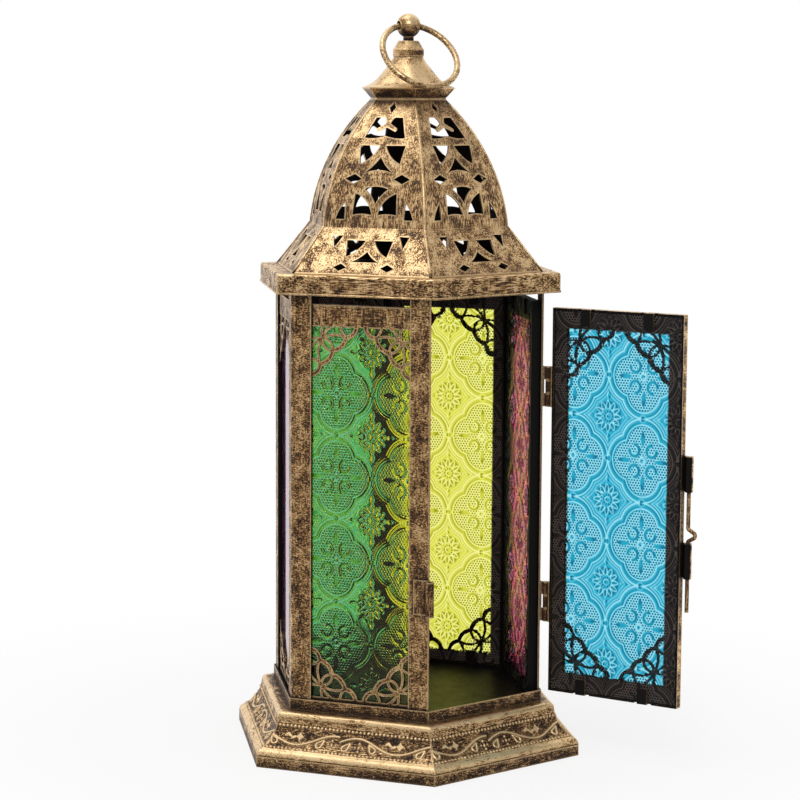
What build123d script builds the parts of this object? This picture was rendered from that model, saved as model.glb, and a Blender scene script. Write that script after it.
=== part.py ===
from build123d import *
import math
import os

os.makedirs("parts", exist_ok=True)

# A six-sided candle lantern of pressed sheet metal with coloured panes. It stands on z = 0 with its axis
# on Z. The corners of the body point to 0, 60, 120 ... degrees and the door fills the face towards -Y.
# All lengths are in millimetres.

# Hexagon
SIDES = 6
FACE_TURN = 360 / SIDES
HALF_TURN = FACE_TURN / 2
FLAT_SHARE = math.cos(math.radians(HALF_TURN))  # distance to a face for each unit to a corner
SPREAD_SHARE = math.tan(math.radians(HALF_TURN))  # half a face's width for each unit to the face

# The direction that each face looks in, and each corner points to, in degrees
FACES = {
    "front": -90,
    "front_left": -150,
    "rear_left": 150,
    "rear": 90,
    "rear_right": 30,
    "front_right": -30,
}
FOLDED_CORNERS = {"right": 0, "rear_right": 60, "rear_left": 120, "left": 180}

# Stock and clearances
SHEET = 0.7  # pressed sheet of the base, posts, frames and roof
GLASS = 2.4  # moulded pane
FIT = 0.05  # gap between pieces that are soldered or seated together
PANE_ROOM = 0.2  # room for a pane inside its frame
OVERRUN = 10.0  # how far a cut runs past what it cuts

# Base: an upright foot band and six coved skirt panels
BASE_HEIGHT = 19.6
LEDGE_WIDTH = 4.5  # ledge outside the tray's lip, across a face
SKIRT_FLARE = 8.7  # how far the foot stands out beyond the ledge, across a face
FOOT_HEIGHT = 4.2
FOOT_LAP = 3.0  # how far a skirt panel tucks down behind the foot band
BEAD_HEIGHT = 2.4  # rounded bead above the foot band
BEAD_SET_IN = 0.6
BEAD_BULGE = 0.8
COVE_DEPTH = 1.7  # hollow of the cove
SHOULDER_ROUND = 1.7

# Floor tray
LIP_HEIGHT = 4.6  # from the base's ledge to the top of the tray's lip
LEDGE_LAP = 4.5  # how far the base's ledge reaches in under the tray

# Posts
BODY_RADIUS = 55.0  # axis to a post's outer corner
POST_LEG = 8.0
POST_BEND = 1.0  # outside radius of the fold
POST_HEIGHT = 163.0

# Roof tray
FASCIA_OVERHANG = 6.4  # corner of the fascia beyond a post's corner
FASCIA_HEIGHT = 7.5
FASCIA_ROUND = 1.1
ROOF_SHELF = 9.0  # corner of the opening under the dome inside a post's corner

# Fixed panels and door
VENT_GAP = 3.7  # slot between a panel's top and the fascia
CORNER_GAP = 0.4  # from a frame to the mitre between two faces
PANEL_STILE = 4.8
PANEL_FOOT_RAIL = 5.0
PANEL_HEAD_RAIL = 8.0
DOOR_SIDE_GAP = 0.5  # from the door's edge to the corner of the body
DOOR_FOOT_GAP = 0.4  # above the tray's lip
DOOR_HEAD_GAP = 5.7  # below the fascia
DOOR_STANDOFF = 0.27  # from the body's face to the back of the shut door
DOOR_STILE = 6.0
DOOR_RAIL = 7.5
PRONG_WIDTH = 4.0  # bent tabs that hold a pane in
PRONG_REACH = 6.0
PRONG_PLACE_SHARE = 0.24  # from the middle, of a frame's width
NOTCH_WIDTH = 1.5  # cut in the frame's edge on both sides of a tab
NOTCH_DEPTH = 1.4

# Filigree in the corners of each window: a scalloped band across the corner, and ribs behind it
FILIGREE_REACH = 18.2  # from the corner to the middle of the band, along the rail and along the stile
FILIGREE_BAND = 1.7
FILIGREE_RIB = 0.95
FILIGREE_KNOT = 0.75  # radius of the knot where the ribs meet

# Hinges
HINGE_LENGTH = 15.2
HINGE_LEAF = 0.5  # thickness
HINGE_LEAF_WIDTH = 6.0
HINGE_FORWARD = 1.4  # pin in front of the back of the shut door
HINGE_GAP = 0.2  # between a knuckle and the leaf that folds against it
KNUCKLE_WALL = 0.56
KNUCKLE_GAP = 0.15  # between neighbouring knuckles
PIN_RADIUS = 0.7
PIN_CLEARANCE = 0.04
UPPER_HINGE_DROP = 30.0  # from the door's top to the middle of the hinge
LOWER_HINGE_RISE = 34.0  # from the door's foot to the middle of the hinge
DOOR_OPEN = 109.3  # degrees that the door stands open as modelled

# Latch: a cranked wire bolt in two barrels on the door and one on the post
BARREL_WALL = 0.5
BARREL_LENGTH = 13.2
BARREL_PLATE = 5.0  # reach of a barrel's plate over the door's face
BARREL_OFFSET = 2.2  # bolt's axis beyond the door's edge
BARREL_SPACING = 32.3  # from the lower door barrel to the upper
BARREL_GAP = 0.25  # between the keeper and the lower door barrel
KEEPER_PLATE = 6.0
LATCH_RISE = 48.9  # from the door's foot to the lower door barrel
BOLT_RADIUS = 0.75
BOLT_CLEARANCE = 0.25
BOLT_INNER_BEND = 0.25  # inside radius of the wire's bends
BOLT_CRANK = 2.8  # how far the crank stands out
BOLT_CRANK_HEIGHT = 4.6
BOLT_CRANK_GRIP = 1.4  # straight part of the crank
BOLT_SEAT = 0.8  # first bend above the lower barrel
BOLT_FOOT_INSET = 0.9  # bolt's foot above the keeper's underside

# Dome: six curved panels
DOME_SET_IN = 7.1  # corner of the dome's foot inside the fascia's corner
FLARE_SET_IN = 14.0  # corner of the crease inside the corner of the dome's foot
DOME_TOP_RADIUS = 15.3  # axis to a corner
FLARE_HEIGHT = 16.6
CROWN_HEIGHT = 46.8
CROWN_BULGE = 4.4  # rise of the crown's arc over its chord

# Cap and finial
DRUM_FLARE = 3.7  # corner of the cap's rim beyond the corner of the dome's top
DRUM_HEIGHT = 3.8
BELL_HEIGHT = 11.6
BELL_NECK_RADIUS = 6.4
COLLAR_RADIUS = 5.85
COLLAR_BAND = 2.5
COLLAR_TAPER = 3.4
COLLAR_TOP_RADIUS = 3.8
STEM_RADIUS = 2.0
STEM_CLEARANCE = 0.15
BALL_RADIUS = 4.55
BALL_STANDOFF = 1.1  # ball's underside above the collar
NUT_RADIUS = 4.0  # axis to a corner
NUT_HEIGHT = 3.0
NUT_TAIL = 1.5  # stem below the nut

# Hanging ring
RING_RADIUS = 15.0  # to the middle of the wire
RING_WIRE = 1.15  # wire's radius
RING_PLAY = 0.6  # room round the wire in the ball's cross hole
RING_CLEARANCE = 0.2  # from the wire to the rim of the cap
RING_AXIS_TURN = -11.6  # degrees from +X to the cross hole

# Outlines of the piercings in a dome panel. Each point is a share of the panel's half width at its own
# height, a share of the height of the crown or the flare, and the bow of the edge to the next point as a
# share of that edge. The right half of a pair is given and its mirror image follows.
CROWN_CENTRE_SHARES = (
    ((0, 0.983, 0), (0.143, 0.940, 0), (0, 0.897, 0), (-0.143, 0.940, 0)),
    (
        (-0.485, 0.863, 0), (-0.19, 0.863, 0.1), (-0.075, 0.815, 0), (-0.27, 0.784, -0.35),
        (-0.27, 0.752, 0), (0, 0.785, 0), (0.27, 0.752, -0.35), (0.27, 0.784, 0),
        (0.075, 0.815, 0.1), (0.19, 0.863, 0), (0.485, 0.863, 0), (0.58, 0.703, 0.06),
        (0, 0.720, 0.06), (-0.58, 0.703, 0),
    ),
    ((0, 0.557, -0.06), (0.335, 0.428, -0.1), (-0.335, 0.428, -0.06)),
    ((-0.25, 0.305, 0.1), (0.25, 0.305, -0.06), (0, 0.188, -0.06)),
)
CROWN_PAIR_SHARES = (
    ((0.080, 0.643, 0), (0.608, 0.645, 0), (0.472, 0.501, 0.1)),
    ((0.345, 0.383, 0), (0.531, 0.421, 0), (0.717, 0.383, 0), (0.531, 0.345, 0)),
    ((0.434, 0.272, 0), (0.440, 0.102, -0.06), (0.060, 0.102, 0.14)),
    ((0.618, 0.200, 0.06), (0.768, 0.066, 0), (0.590, 0.066, 0)),
)
FLARE_CENTRE_SHARES = (
    ((0, 0.500, -0.06), (0.215, 0.275, 0), (-0.215, 0.275, -0.06)),
)
FLARE_PAIR_SHARES = (
    ((0.520, 0.832, 0), (0.706, 0.826, 0), (0.582, 0.560, 0)),
    ((0.078, 0.735, 0), (0.412, 0.735, 0), (0.328, 0.385, 0.1)),
    ((0.254, 0.157, 0), (0.358, 0.239, 0), (0.462, 0.157, 0), (0.358, 0.076, 0)),
)

# Lines of the filigree. Each has its start and end as shares of the reach along the rail and along the stile,
# and its bow as a share of its length. The lines next to the stile are given, and their mirror images in the
# corner's diagonal follow. Lines end a little way inside the frame.
LOBE_CUSP_SHARES = (0.205, 0.765)
LOBE_MIDDLE_SHARES = (0.48, 0.48)
RIB_KNOT_SHARES = (0.25, 0.25)
LOBE_SHARES = (
    ((-0.03, 1), LOBE_CUSP_SHARES, 0.2),
    (LOBE_CUSP_SHARES, LOBE_MIDDLE_SHARES, 0.17),
)
RIB_SHARES = (
    (LOBE_CUSP_SHARES, (-0.03, 0.65), 0.08),
    (LOBE_CUSP_SHARES, RIB_KNOT_SHARES, -0.13),
    (LOBE_MIDDLE_SHARES, RIB_KNOT_SHARES, -0.24),
    (RIB_KNOT_SHARES, (-0.03, 0.5), 0.1),
    (RIB_KNOT_SHARES, (-0.03, 0.265), 0.06),
)

# Sections of the cap's bell from its rim to its neck: share of the height, share of the way in from the rim
# to the neck, and roundness of the corners as a share of the distance to a face
BELL_SHARES = (
    (0, 0, 0.04), (0.12, 0.26, 0.3), (0.32, 0.49, 0.6), (0.53, 0.66, 0.8), (0.8, 0.88, 0.94), (1, 1, 0.97),
)

# Heights and distances that follow
BODY_FLAT = BODY_RADIUS * FLAT_SHARE
TRAY_FLAT = BODY_FLAT + FIT + SHEET
TRAY_RADIUS = TRAY_FLAT / FLAT_SHARE
SHOULDER_FLAT = TRAY_FLAT + LEDGE_WIDTH
FOOT_FLAT = SHOULDER_FLAT + SKIRT_FLARE
BASE_RADIUS = FOOT_FLAT / FLAT_SHARE
TRAY_FOOT = BASE_HEIGHT + FIT
FLOOR_TOP = TRAY_FOOT + SHEET
LIP_TOP = BASE_HEIGHT + LIP_HEIGHT
POST_FOOT = FLOOR_TOP + FIT
ROOF_UNDERSIDE = POST_FOOT + POST_HEIGHT + FIT
ROOF_TOP = ROOF_UNDERSIDE + SHEET
FASCIA_FOOT = ROOF_TOP - FASCIA_HEIGHT
FASCIA_RADIUS = BODY_RADIUS + FASCIA_OVERHANG
VENT_RADIUS = BODY_RADIUS - ROOF_SHELF

FRAME_DEPTH = SHEET + PANE_ROOM + GLASS
PANEL_FACE = BODY_FLAT - SHEET - FIT
PANEL_WIDTH = 2 * ((PANEL_FACE - FRAME_DEPTH) * SPREAD_SHARE - CORNER_GAP)
PANEL_FOOT = FLOOR_TOP + FIT
PANEL_TOP = FASCIA_FOOT - VENT_GAP
DOOR_BACK = BODY_FLAT + DOOR_STANDOFF
DOOR_FACE = DOOR_BACK + FRAME_DEPTH
DOOR_WIDTH = BODY_RADIUS - 2 * DOOR_SIDE_GAP
DOOR_FOOT = LIP_TOP + DOOR_FOOT_GAP
DOOR_TOP = FASCIA_FOOT - DOOR_HEAD_GAP

DOME_FOOT_RADIUS = FASCIA_RADIUS - DOME_SET_IN
DOME_CREASE_RADIUS = DOME_FOOT_RADIUS - FLARE_SET_IN
CAP_RIM_RADIUS = DOME_TOP_RADIUS + DRUM_FLARE
DOME_FOOT = ROOF_TOP + FIT
CREASE_HEIGHT = DOME_FOOT + FLARE_HEIGHT
DOME_TOP = CREASE_HEIGHT + CROWN_HEIGHT
CROWN_PLATE_FOOT = DOME_TOP + FIT
DRUM_FOOT = CROWN_PLATE_FOOT + SHEET + FIT
RIM_HEIGHT = DRUM_FOOT + DRUM_HEIGHT
BELL_FOOT = RIM_HEIGHT + FIT
COLLAR_FOOT = BELL_FOOT + BELL_HEIGHT + FIT
COLLAR_TOP = COLLAR_FOOT + COLLAR_BAND + COLLAR_TAPER
BALL_HEIGHT = COLLAR_TOP + BALL_STANDOFF + BALL_RADIUS

PIN_BORE = PIN_RADIUS + PIN_CLEARANCE
KNUCKLE_RADIUS = PIN_BORE + KNUCKLE_WALL
HINGE_X = DOOR_WIDTH / 2 + FIT + HINGE_LEAF + HINGE_GAP + KNUCKLE_RADIUS
HINGE_Y = -DOOR_BACK - HINGE_FORWARD
HINGE_AXIS = Axis((HINGE_X, HINGE_Y, 0), (0, 0, 1))
BARREL_BORE = BOLT_RADIUS + BOLT_CLEARANCE
BARREL_RADIUS = BARREL_BORE + BARREL_WALL
LATCH_X = -DOOR_WIDTH / 2 - BARREL_OFFSET
LATCH_Y = -DOOR_FACE - FIT - BARREL_WALL + BARREL_RADIUS


def save(piece, name):
    piece.label = name
    export_step(piece, f"parts/{name}.step")


def face_turned(piece, face):
    """A piece modelled on the face that looks along +X, turned to another face."""
    return piece.rotate(Axis.Z, FACES[face])


def door_placed(piece):
    """A piece of the shut door, swung open about the hinge pins."""
    return piece.rotate(HINGE_AXIS, DOOR_OPEN)


def mitre(side):
    """The upright plane through a corner of the face that looks along +X, facing away from that face."""
    turn = math.radians(HALF_TURN)
    return Plane((0, 0, 0), x_dir=(0, 0, 1), z_dir=(-math.sin(turn), side * math.cos(turn), 0))


def wall_plane(distance):
    """An upright plane that looks along +X: its x runs across the face and its y runs up."""
    return Plane((distance, 0, 0), x_dir=(0, 1, 0), z_dir=(1, 0, 0))


def corner_plane(face, side, height):
    """A level plane at a corner of the body: its x runs from the corner along the face, its y outwards."""
    turn = math.radians(FACES[face])
    out = Vector(math.cos(turn), math.sin(turn), 0)
    across = Vector(-math.sin(turn), math.cos(turn), 0)
    origin = out * BODY_FLAT + across * (side * BODY_RADIUS / 2) + Vector(0, 0, height)
    return Plane(origin, x_dir=across * -side, z_dir=(0, 0, side))


# Base

with BuildPart() as foot_band:
    with BuildSketch():
        RegularPolygon(BASE_RADIUS, SIDES)
        RegularPolygon(BASE_RADIUS - SHEET / FLAT_SHARE, SIDES, mode=Mode.SUBTRACT)
    extrude(amount=FOOT_HEIGHT)
save(foot_band.part, "foot_band")

skirt_flat = FOOT_FLAT - SHEET - FIT
bead_top = (skirt_flat - BEAD_SET_IN, FOOT_HEIGHT + BEAD_HEIGHT)
cove_top = (SHOULDER_FLAT, BASE_HEIGHT - SHOULDER_ROUND)

with BuildPart() as base_panel:
    with BuildSketch(Plane.XZ):
        with BuildLine():
            tuck = Line((skirt_flat, FOOT_HEIGHT - FOOT_LAP), (skirt_flat, FOOT_HEIGHT))
            SagittaArc(tuck @ 1, bead_top, -BEAD_BULGE)
            SagittaArc(bead_top, cove_top, COVE_DEPTH)
            shoulder = RadiusArc(cove_top, (SHOULDER_FLAT - SHOULDER_ROUND, BASE_HEIGHT), -SHOULDER_ROUND)
            Line(shoulder @ 1, (TRAY_FLAT - LEDGE_LAP, BASE_HEIGHT))
            offset(amount=SHEET, side=Side.LEFT)
        make_face()
    extrude(amount=BASE_RADIUS, both=True)
    split(bisect_by=mitre(1), keep=Keep.BOTTOM)
    split(bisect_by=mitre(-1), keep=Keep.BOTTOM)

for face in FACES:
    save(face_turned(base_panel.part, face), f"base_panel_{face}")

# Floor tray

with BuildPart() as floor_tray:
    with BuildSketch(Plane.XY.offset(TRAY_FOOT)):
        RegularPolygon(TRAY_RADIUS, SIDES)
    extrude(amount=LIP_TOP - TRAY_FOOT)
    with BuildSketch(Plane.XY.offset(FLOOR_TOP)):
        RegularPolygon(TRAY_RADIUS - SHEET / FLAT_SHARE, SIDES)
    extrude(amount=LIP_HEIGHT + OVERRUN, mode=Mode.SUBTRACT)
save(floor_tray.part, "floor_tray")

# Posts: four folded angles, and a flat strip on each side of the door

turn = math.radians(FACE_TURN)
leg_end = (BODY_RADIUS - POST_LEG * math.cos(turn), POST_LEG * math.sin(turn))
leg_inset = (SHEET * math.cos(turn / 2), SHEET * math.sin(turn / 2))
inner_end = (leg_end[0] - leg_inset[0], leg_end[1] - leg_inset[1])

with BuildPart() as folded_post:
    with BuildSketch(Plane.XY.offset(POST_FOOT)):
        with BuildLine():
            Polyline(
                leg_end,
                (BODY_RADIUS, 0),
                (leg_end[0], -leg_end[1]),
                (inner_end[0], -inner_end[1]),
                (BODY_RADIUS - SHEET / FLAT_SHARE, 0),
                inner_end,
                close=True,
            )
        make_face()
    extrude(amount=POST_HEIGHT)
    fold = folded_post.edges().filter_by(Axis.Z).sort_by(Axis.X)[-1]
    fillet(fold, POST_BEND)

for corner, angle in FOLDED_CORNERS.items():
    save(folded_post.part.rotate(Axis.Z, angle), f"post_{corner}")

for name, face, side in (("hinge", "front_right", -1), ("latch", "front_left", 1)):
    with BuildPart() as strip_post:
        with BuildSketch(corner_plane(face, side, POST_FOOT)):
            Rectangle(POST_LEG, SHEET, align=(Align.MIN, Align.MAX))
        extrude(amount=side * POST_HEIGHT)
    save(strip_post.part, f"post_{name}")


# Framed panes

def filigree_lines(shares, width):
    """Bowed strips of one width, and their mirror images in the diagonal of the corner at the origin."""
    with BuildSketch() as strips:
        for start, end, bow in shares:
            first = Vector(*start) * FILIGREE_REACH
            last = Vector(*end) * FILIGREE_REACH
            sag = bow * (last - first).length
            with BuildLine():
                SagittaArc(first, last, sag)
            trace(line_width=width)
            with BuildLine():
                SagittaArc((first.Y, first.X), (last.Y, last.X), -sag)
            trace(line_width=width)
    return strips.sketch


def filigree():
    """The ornament of one corner, which lies at the origin with the window along +X and +Y."""
    cusp = Vector(*LOBE_CUSP_SHARES) * FILIGREE_REACH
    with BuildSketch() as corner:
        add(filigree_lines(LOBE_SHARES, FILIGREE_BAND))
        add(filigree_lines(RIB_SHARES, FILIGREE_RIB))
        with Locations(cusp, (cusp.Y, cusp.X), Vector(*LOBE_MIDDLE_SHARES) * FILIGREE_REACH):
            Circle(FILIGREE_BAND / 2)
        with Locations(Vector(*RIB_KNOT_SHARES) * FILIGREE_REACH):
            Circle(FILIGREE_KNOT)
    return corner.sketch


filigree_corner = filigree()


def pane_frame(face_distance, width, foot, top, stile, foot_rail, head_rail):
    """A tray-shaped frame with a filigree window, on the face that looks along +X."""
    middle = (foot + top) / 2
    window_width = width - 2 * stile
    window_foot = foot + foot_rail
    window_top = top - head_rail
    prong_places = []
    notch_places = []
    for side in (-1, 1):
        prong = side * PRONG_PLACE_SHARE * width
        beside = (PRONG_WIDTH + NOTCH_WIDTH) / 2
        for level in (foot + PRONG_REACH / 2, top - PRONG_REACH / 2):
            prong_places.append((prong, level))
        for level in (foot, top):
            notch_places.extend([(prong - beside, level), (prong + beside, level)])

    with BuildPart() as frame:
        with BuildSketch(wall_plane(face_distance)):
            with Locations((0, middle)):
                Rectangle(width, top - foot)
            with Locations((0, (window_foot + window_top) / 2)):
                Rectangle(window_width, window_top - window_foot, mode=Mode.SUBTRACT)
            for level, flip in ((window_foot, False), (window_top, True)):
                ornament = filigree_corner.mirror(Plane.XZ) if flip else filigree_corner
                with Locations((-window_width / 2, level)):
                    add(ornament)
                with Locations((window_width / 2, level)):
                    add(ornament.mirror(Plane.YZ))
        extrude(amount=-SHEET)
        with BuildSketch(wall_plane(face_distance - SHEET)):
            with Locations((0, middle)):
                Rectangle(width, top - foot)
                Rectangle(width - 2 * SHEET, top - foot - 2 * SHEET, mode=Mode.SUBTRACT)
        extrude(amount=-(FRAME_DEPTH - SHEET))
        with BuildSketch(wall_plane(face_distance - FRAME_DEPTH)):
            with Locations(*prong_places):
                Rectangle(PRONG_WIDTH, PRONG_REACH)
        extrude(amount=-SHEET)
        with BuildSketch(wall_plane(face_distance - FRAME_DEPTH)):
            with Locations(*notch_places):
                Rectangle(NOTCH_WIDTH, 2 * SHEET)
        extrude(amount=NOTCH_DEPTH, mode=Mode.SUBTRACT)
    return frame.part


def pane(face_distance, width, foot, top):
    """The sheet of glass that lies inside such a frame."""
    rim = SHEET + PANE_ROOM
    with BuildPart() as glass:
        with BuildSketch(wall_plane(face_distance - SHEET - PANE_ROOM / 2)):
            with Locations((0, (foot + top) / 2)):
                Rectangle(width - 2 * rim, top - foot - 2 * rim)
        extrude(amount=-GLASS)
    return glass.part


panel_frame = pane_frame(
    PANEL_FACE, PANEL_WIDTH, PANEL_FOOT, PANEL_TOP, PANEL_STILE, PANEL_FOOT_RAIL, PANEL_HEAD_RAIL
)
panel_pane = pane(PANEL_FACE, PANEL_WIDTH, PANEL_FOOT, PANEL_TOP)
for face in FACES:
    if face != "front":
        save(face_turned(panel_frame, face), f"panel_frame_{face}")
        save(face_turned(panel_pane, face), f"pane_{face}")

door_frame = pane_frame(DOOR_FACE, DOOR_WIDTH, DOOR_FOOT, DOOR_TOP, DOOR_STILE, DOOR_RAIL, DOOR_RAIL)
door_pane = pane(DOOR_FACE, DOOR_WIDTH, DOOR_FOOT, DOOR_TOP)
save(door_placed(face_turned(door_frame, "front")), "door_frame")
save(door_placed(face_turned(door_pane, "front")), "door_pane")

# Hinges: each has two knuckles on the post, one between them on the door, and a pin

hinge_corner = corner_plane("front_right", -1, 0)
hinge_from_corner = hinge_corner.to_local_coords(Vector(HINGE_X, HINGE_Y, 0))
knuckle_length = (HINGE_LENGTH - 2 * KNUCKLE_GAP) / 3
knuckle_step = knuckle_length + KNUCKLE_GAP
post_web = hinge_from_corner.X + KNUCKLE_RADIUS - HINGE_LEAF
door_edge = DOOR_WIDTH / 2 + FIT

for name, middle in (("upper", DOOR_TOP - UPPER_HINGE_DROP), ("lower", DOOR_FOOT + LOWER_HINGE_RISE)):
    hinge_foot = middle - HINGE_LENGTH / 2

    with BuildPart() as post_leaf:
        with BuildSketch(corner_plane("front_right", -1, hinge_foot)):
            with Locations((post_web, FIT)):
                Rectangle(HINGE_LEAF_WIDTH, HINGE_LEAF, align=(Align.MIN, Align.MIN))
        extrude(amount=-HINGE_LENGTH)
        for level in (hinge_foot, hinge_foot + 2 * knuckle_step):
            with BuildSketch(corner_plane("front_right", -1, level)):
                with Locations((post_web, FIT)):
                    Rectangle(HINGE_LEAF, hinge_from_corner.Y - FIT, align=(Align.MIN, Align.MIN))
                with Locations((hinge_from_corner.X, hinge_from_corner.Y)):
                    Circle(KNUCKLE_RADIUS)
                    Circle(PIN_BORE, mode=Mode.SUBTRACT)
            extrude(amount=-knuckle_length)
    save(post_leaf.part, f"hinge_post_leaf_{name}")

    with BuildPart() as door_leaf:
        with BuildSketch(Plane.XY.offset(hinge_foot)):
            with Locations((door_edge, -DOOR_FACE)):
                Rectangle(HINGE_LEAF, FRAME_DEPTH, align=(Align.MIN, Align.MIN))
        extrude(amount=HINGE_LENGTH)
        with BuildSketch(Plane.XY.offset(hinge_foot + knuckle_step)):
            with Locations((door_edge, HINGE_Y - KNUCKLE_RADIUS)):
                Rectangle(HINGE_X - door_edge, HINGE_LEAF, align=(Align.MIN, Align.MIN))
            with Locations((HINGE_X, HINGE_Y)):
                Circle(KNUCKLE_RADIUS)
                Circle(PIN_BORE, mode=Mode.SUBTRACT)
        extrude(amount=knuckle_length)
    save(door_placed(door_leaf.part), f"hinge_door_leaf_{name}")

    with BuildPart() as hinge_pin:
        with BuildSketch(Plane.XY.offset(hinge_foot)):
            with Locations((HINGE_X, HINGE_Y)):
                Circle(PIN_RADIUS)
        extrude(amount=HINGE_LENGTH)
    save(hinge_pin.part, f"hinge_pin_{name}")

# Latch

plate_edge = -DOOR_WIDTH / 2 + BARREL_PLATE
lower_barrel = DOOR_FOOT + LATCH_RISE
upper_barrel = lower_barrel + BARREL_SPACING

for name, level in (("lower", lower_barrel), ("upper", upper_barrel)):
    with BuildPart() as barrel:
        with BuildSketch(Plane.XY.offset(level)):
            with Locations((LATCH_X, -DOOR_FACE - FIT)):
                Rectangle(plate_edge - LATCH_X, BARREL_WALL, align=(Align.MIN, Align.MAX))
            with Locations((LATCH_X, LATCH_Y)):
                Circle(BARREL_RADIUS)
                Circle(BARREL_BORE, mode=Mode.SUBTRACT)
        extrude(amount=BARREL_LENGTH)
    save(door_placed(barrel.part), f"latch_barrel_{name}")

keeper_foot = lower_barrel - BARREL_GAP - BARREL_LENGTH
keeper_plane = corner_plane("front_left", 1, keeper_foot)
latch_from_corner = keeper_plane.to_local_coords(Vector(LATCH_X, LATCH_Y, keeper_foot))
keeper_web = latch_from_corner.X + BARREL_RADIUS - BARREL_WALL

with BuildPart() as latch_keeper:
    with BuildSketch(keeper_plane):
        with Locations((keeper_web, FIT)):
            Rectangle(KEEPER_PLATE - keeper_web, BARREL_WALL, align=(Align.MIN, Align.MIN))
            Rectangle(BARREL_WALL, latch_from_corner.Y - FIT, align=(Align.MIN, Align.MIN))
        with Locations((latch_from_corner.X, latch_from_corner.Y)):
            Circle(BARREL_RADIUS)
            Circle(BARREL_BORE, mode=Mode.SUBTRACT)
    extrude(amount=BARREL_LENGTH)
save(latch_keeper.part, "latch_keeper")

bolt_foot = keeper_foot + BOLT_FOOT_INSET
bolt_top = upper_barrel + BARREL_LENGTH
crank_foot = lower_barrel + BARREL_LENGTH + BOLT_SEAT
crank_top = crank_foot + BOLT_CRANK_HEIGHT
grip_top = crank_foot + BOLT_CRANK_HEIGHT / 2 + BOLT_CRANK_GRIP / 2
crank_x = LATCH_X - BOLT_CRANK

with BuildPart() as latch_bolt:
    with BuildLine(Plane((0, LATCH_Y, 0), x_dir=(1, 0, 0), z_dir=(0, -1, 0))) as bolt_path:
        FilletPolyline(
            (LATCH_X, bolt_foot),
            (LATCH_X, crank_foot),
            (crank_x, grip_top - BOLT_CRANK_GRIP),
            (crank_x, grip_top),
            (LATCH_X, crank_top),
            (LATCH_X, bolt_top),
            radius=BOLT_RADIUS + BOLT_INNER_BEND,
        )
    with BuildSketch(Plane((LATCH_X, LATCH_Y, bolt_foot), z_dir=(0, 0, 1))):
        Circle(BOLT_RADIUS)
    sweep(path=bolt_path.line)
save(door_placed(latch_bolt.part), "latch_bolt")

# Roof tray

with BuildPart() as roof_tray:
    with BuildSketch(Plane.XY.offset(FASCIA_FOOT)):
        RegularPolygon(FASCIA_RADIUS, SIDES)
    extrude(amount=FASCIA_HEIGHT)
    fillet(roof_tray.faces().sort_by(Axis.Z)[-1].edges(), FASCIA_ROUND)
    with BuildSketch(Plane.XY.offset(ROOF_UNDERSIDE)):
        RegularPolygon(FASCIA_RADIUS - SHEET / FLAT_SHARE, SIDES)
    extrude(amount=-(FASCIA_HEIGHT + OVERRUN), mode=Mode.SUBTRACT)
    with BuildSketch(Plane.XY.offset(ROOF_UNDERSIDE)):
        RegularPolygon(VENT_RADIUS, SIDES)
    extrude(amount=SHEET + OVERRUN, both=True, mode=Mode.SUBTRACT)
save(roof_tray.part, "roof_tray")

# Dome

dome_foot_flat = DOME_FOOT_RADIUS * FLAT_SHARE
crease_flat = DOME_CREASE_RADIUS * FLAT_SHARE
dome_top_flat = DOME_TOP_RADIUS * FLAT_SHARE
crease = Vector(crease_flat, CREASE_HEIGHT)
crown_top = Vector(dome_top_flat, DOME_TOP)
chord = crown_top - crease
crown_radius = (chord.length**2 / 4 + CROWN_BULGE**2) / (2 * CROWN_BULGE)
inwards = Vector(-chord.Y, chord.X) / chord.length
crown_centre = (crease + crown_top) / 2 + inwards * (crown_radius - CROWN_BULGE)


def crown_point(across, up):
    """A point on the crown's panel: its distance from the middle line and its height."""
    height = CREASE_HEIGHT + up * CROWN_HEIGHT
    flat = crown_centre.X + math.sqrt(crown_radius**2 - (height - crown_centre.Y) ** 2)
    return across * flat * SPREAD_SHARE, height


def flare_point(across, up):
    """The same on the flare below the crease."""
    height = DOME_FOOT + up * FLARE_HEIGHT
    flat = dome_foot_flat + up * (crease_flat - dome_foot_flat)
    return across * flat * SPREAD_SHARE, height


def piercings(outlines, point):
    """One sketch of pierced openings, with straight or bowed edges."""
    with BuildSketch(wall_plane(0)) as holes:
        for outline in outlines:
            with BuildLine():
                for this, following in zip(outline, outline[1:] + outline[:1]):
                    start = Vector(*point(this[0], this[1]))
                    end = Vector(*point(following[0], following[1]))
                    bow = this[2] * (end - start).length
                    if bow:
                        SagittaArc(start, end, bow)
                    else:
                        Line(start, end)
            make_face()
    return holes.sketch


centre_holes = [piercings(CROWN_CENTRE_SHARES, crown_point), piercings(FLARE_CENTRE_SHARES, flare_point)]
pair_holes = [piercings(CROWN_PAIR_SHARES, crown_point), piercings(FLARE_PAIR_SHARES, flare_point)]
mirrored_holes = [holes.mirror(Plane.XZ) for holes in pair_holes]

with BuildPart() as dome_panel:
    with BuildSketch(Plane.XZ):
        with BuildLine():
            Line((dome_foot_flat, DOME_FOOT), crease)
            SagittaArc(crease, crown_top, -CROWN_BULGE)
            offset(amount=SHEET, side=Side.LEFT)
        make_face()
    extrude(amount=DOME_FOOT_RADIUS, both=True)
    split(bisect_by=mitre(1), keep=Keep.BOTTOM)
    split(bisect_by=mitre(-1), keep=Keep.BOTTOM)
    split(bisect_by=Plane.XY.offset(DOME_FOOT), keep=Keep.TOP)
    for holes in centre_holes + pair_holes + mirrored_holes:
        extrude(holes, amount=DOME_FOOT_RADIUS, dir=(1, 0, 0), mode=Mode.SUBTRACT)

for face in FACES:
    save(face_turned(dome_panel.part, face), f"dome_panel_{face}")

# Cap

stem_hole = STEM_RADIUS + STEM_CLEARANCE

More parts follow.
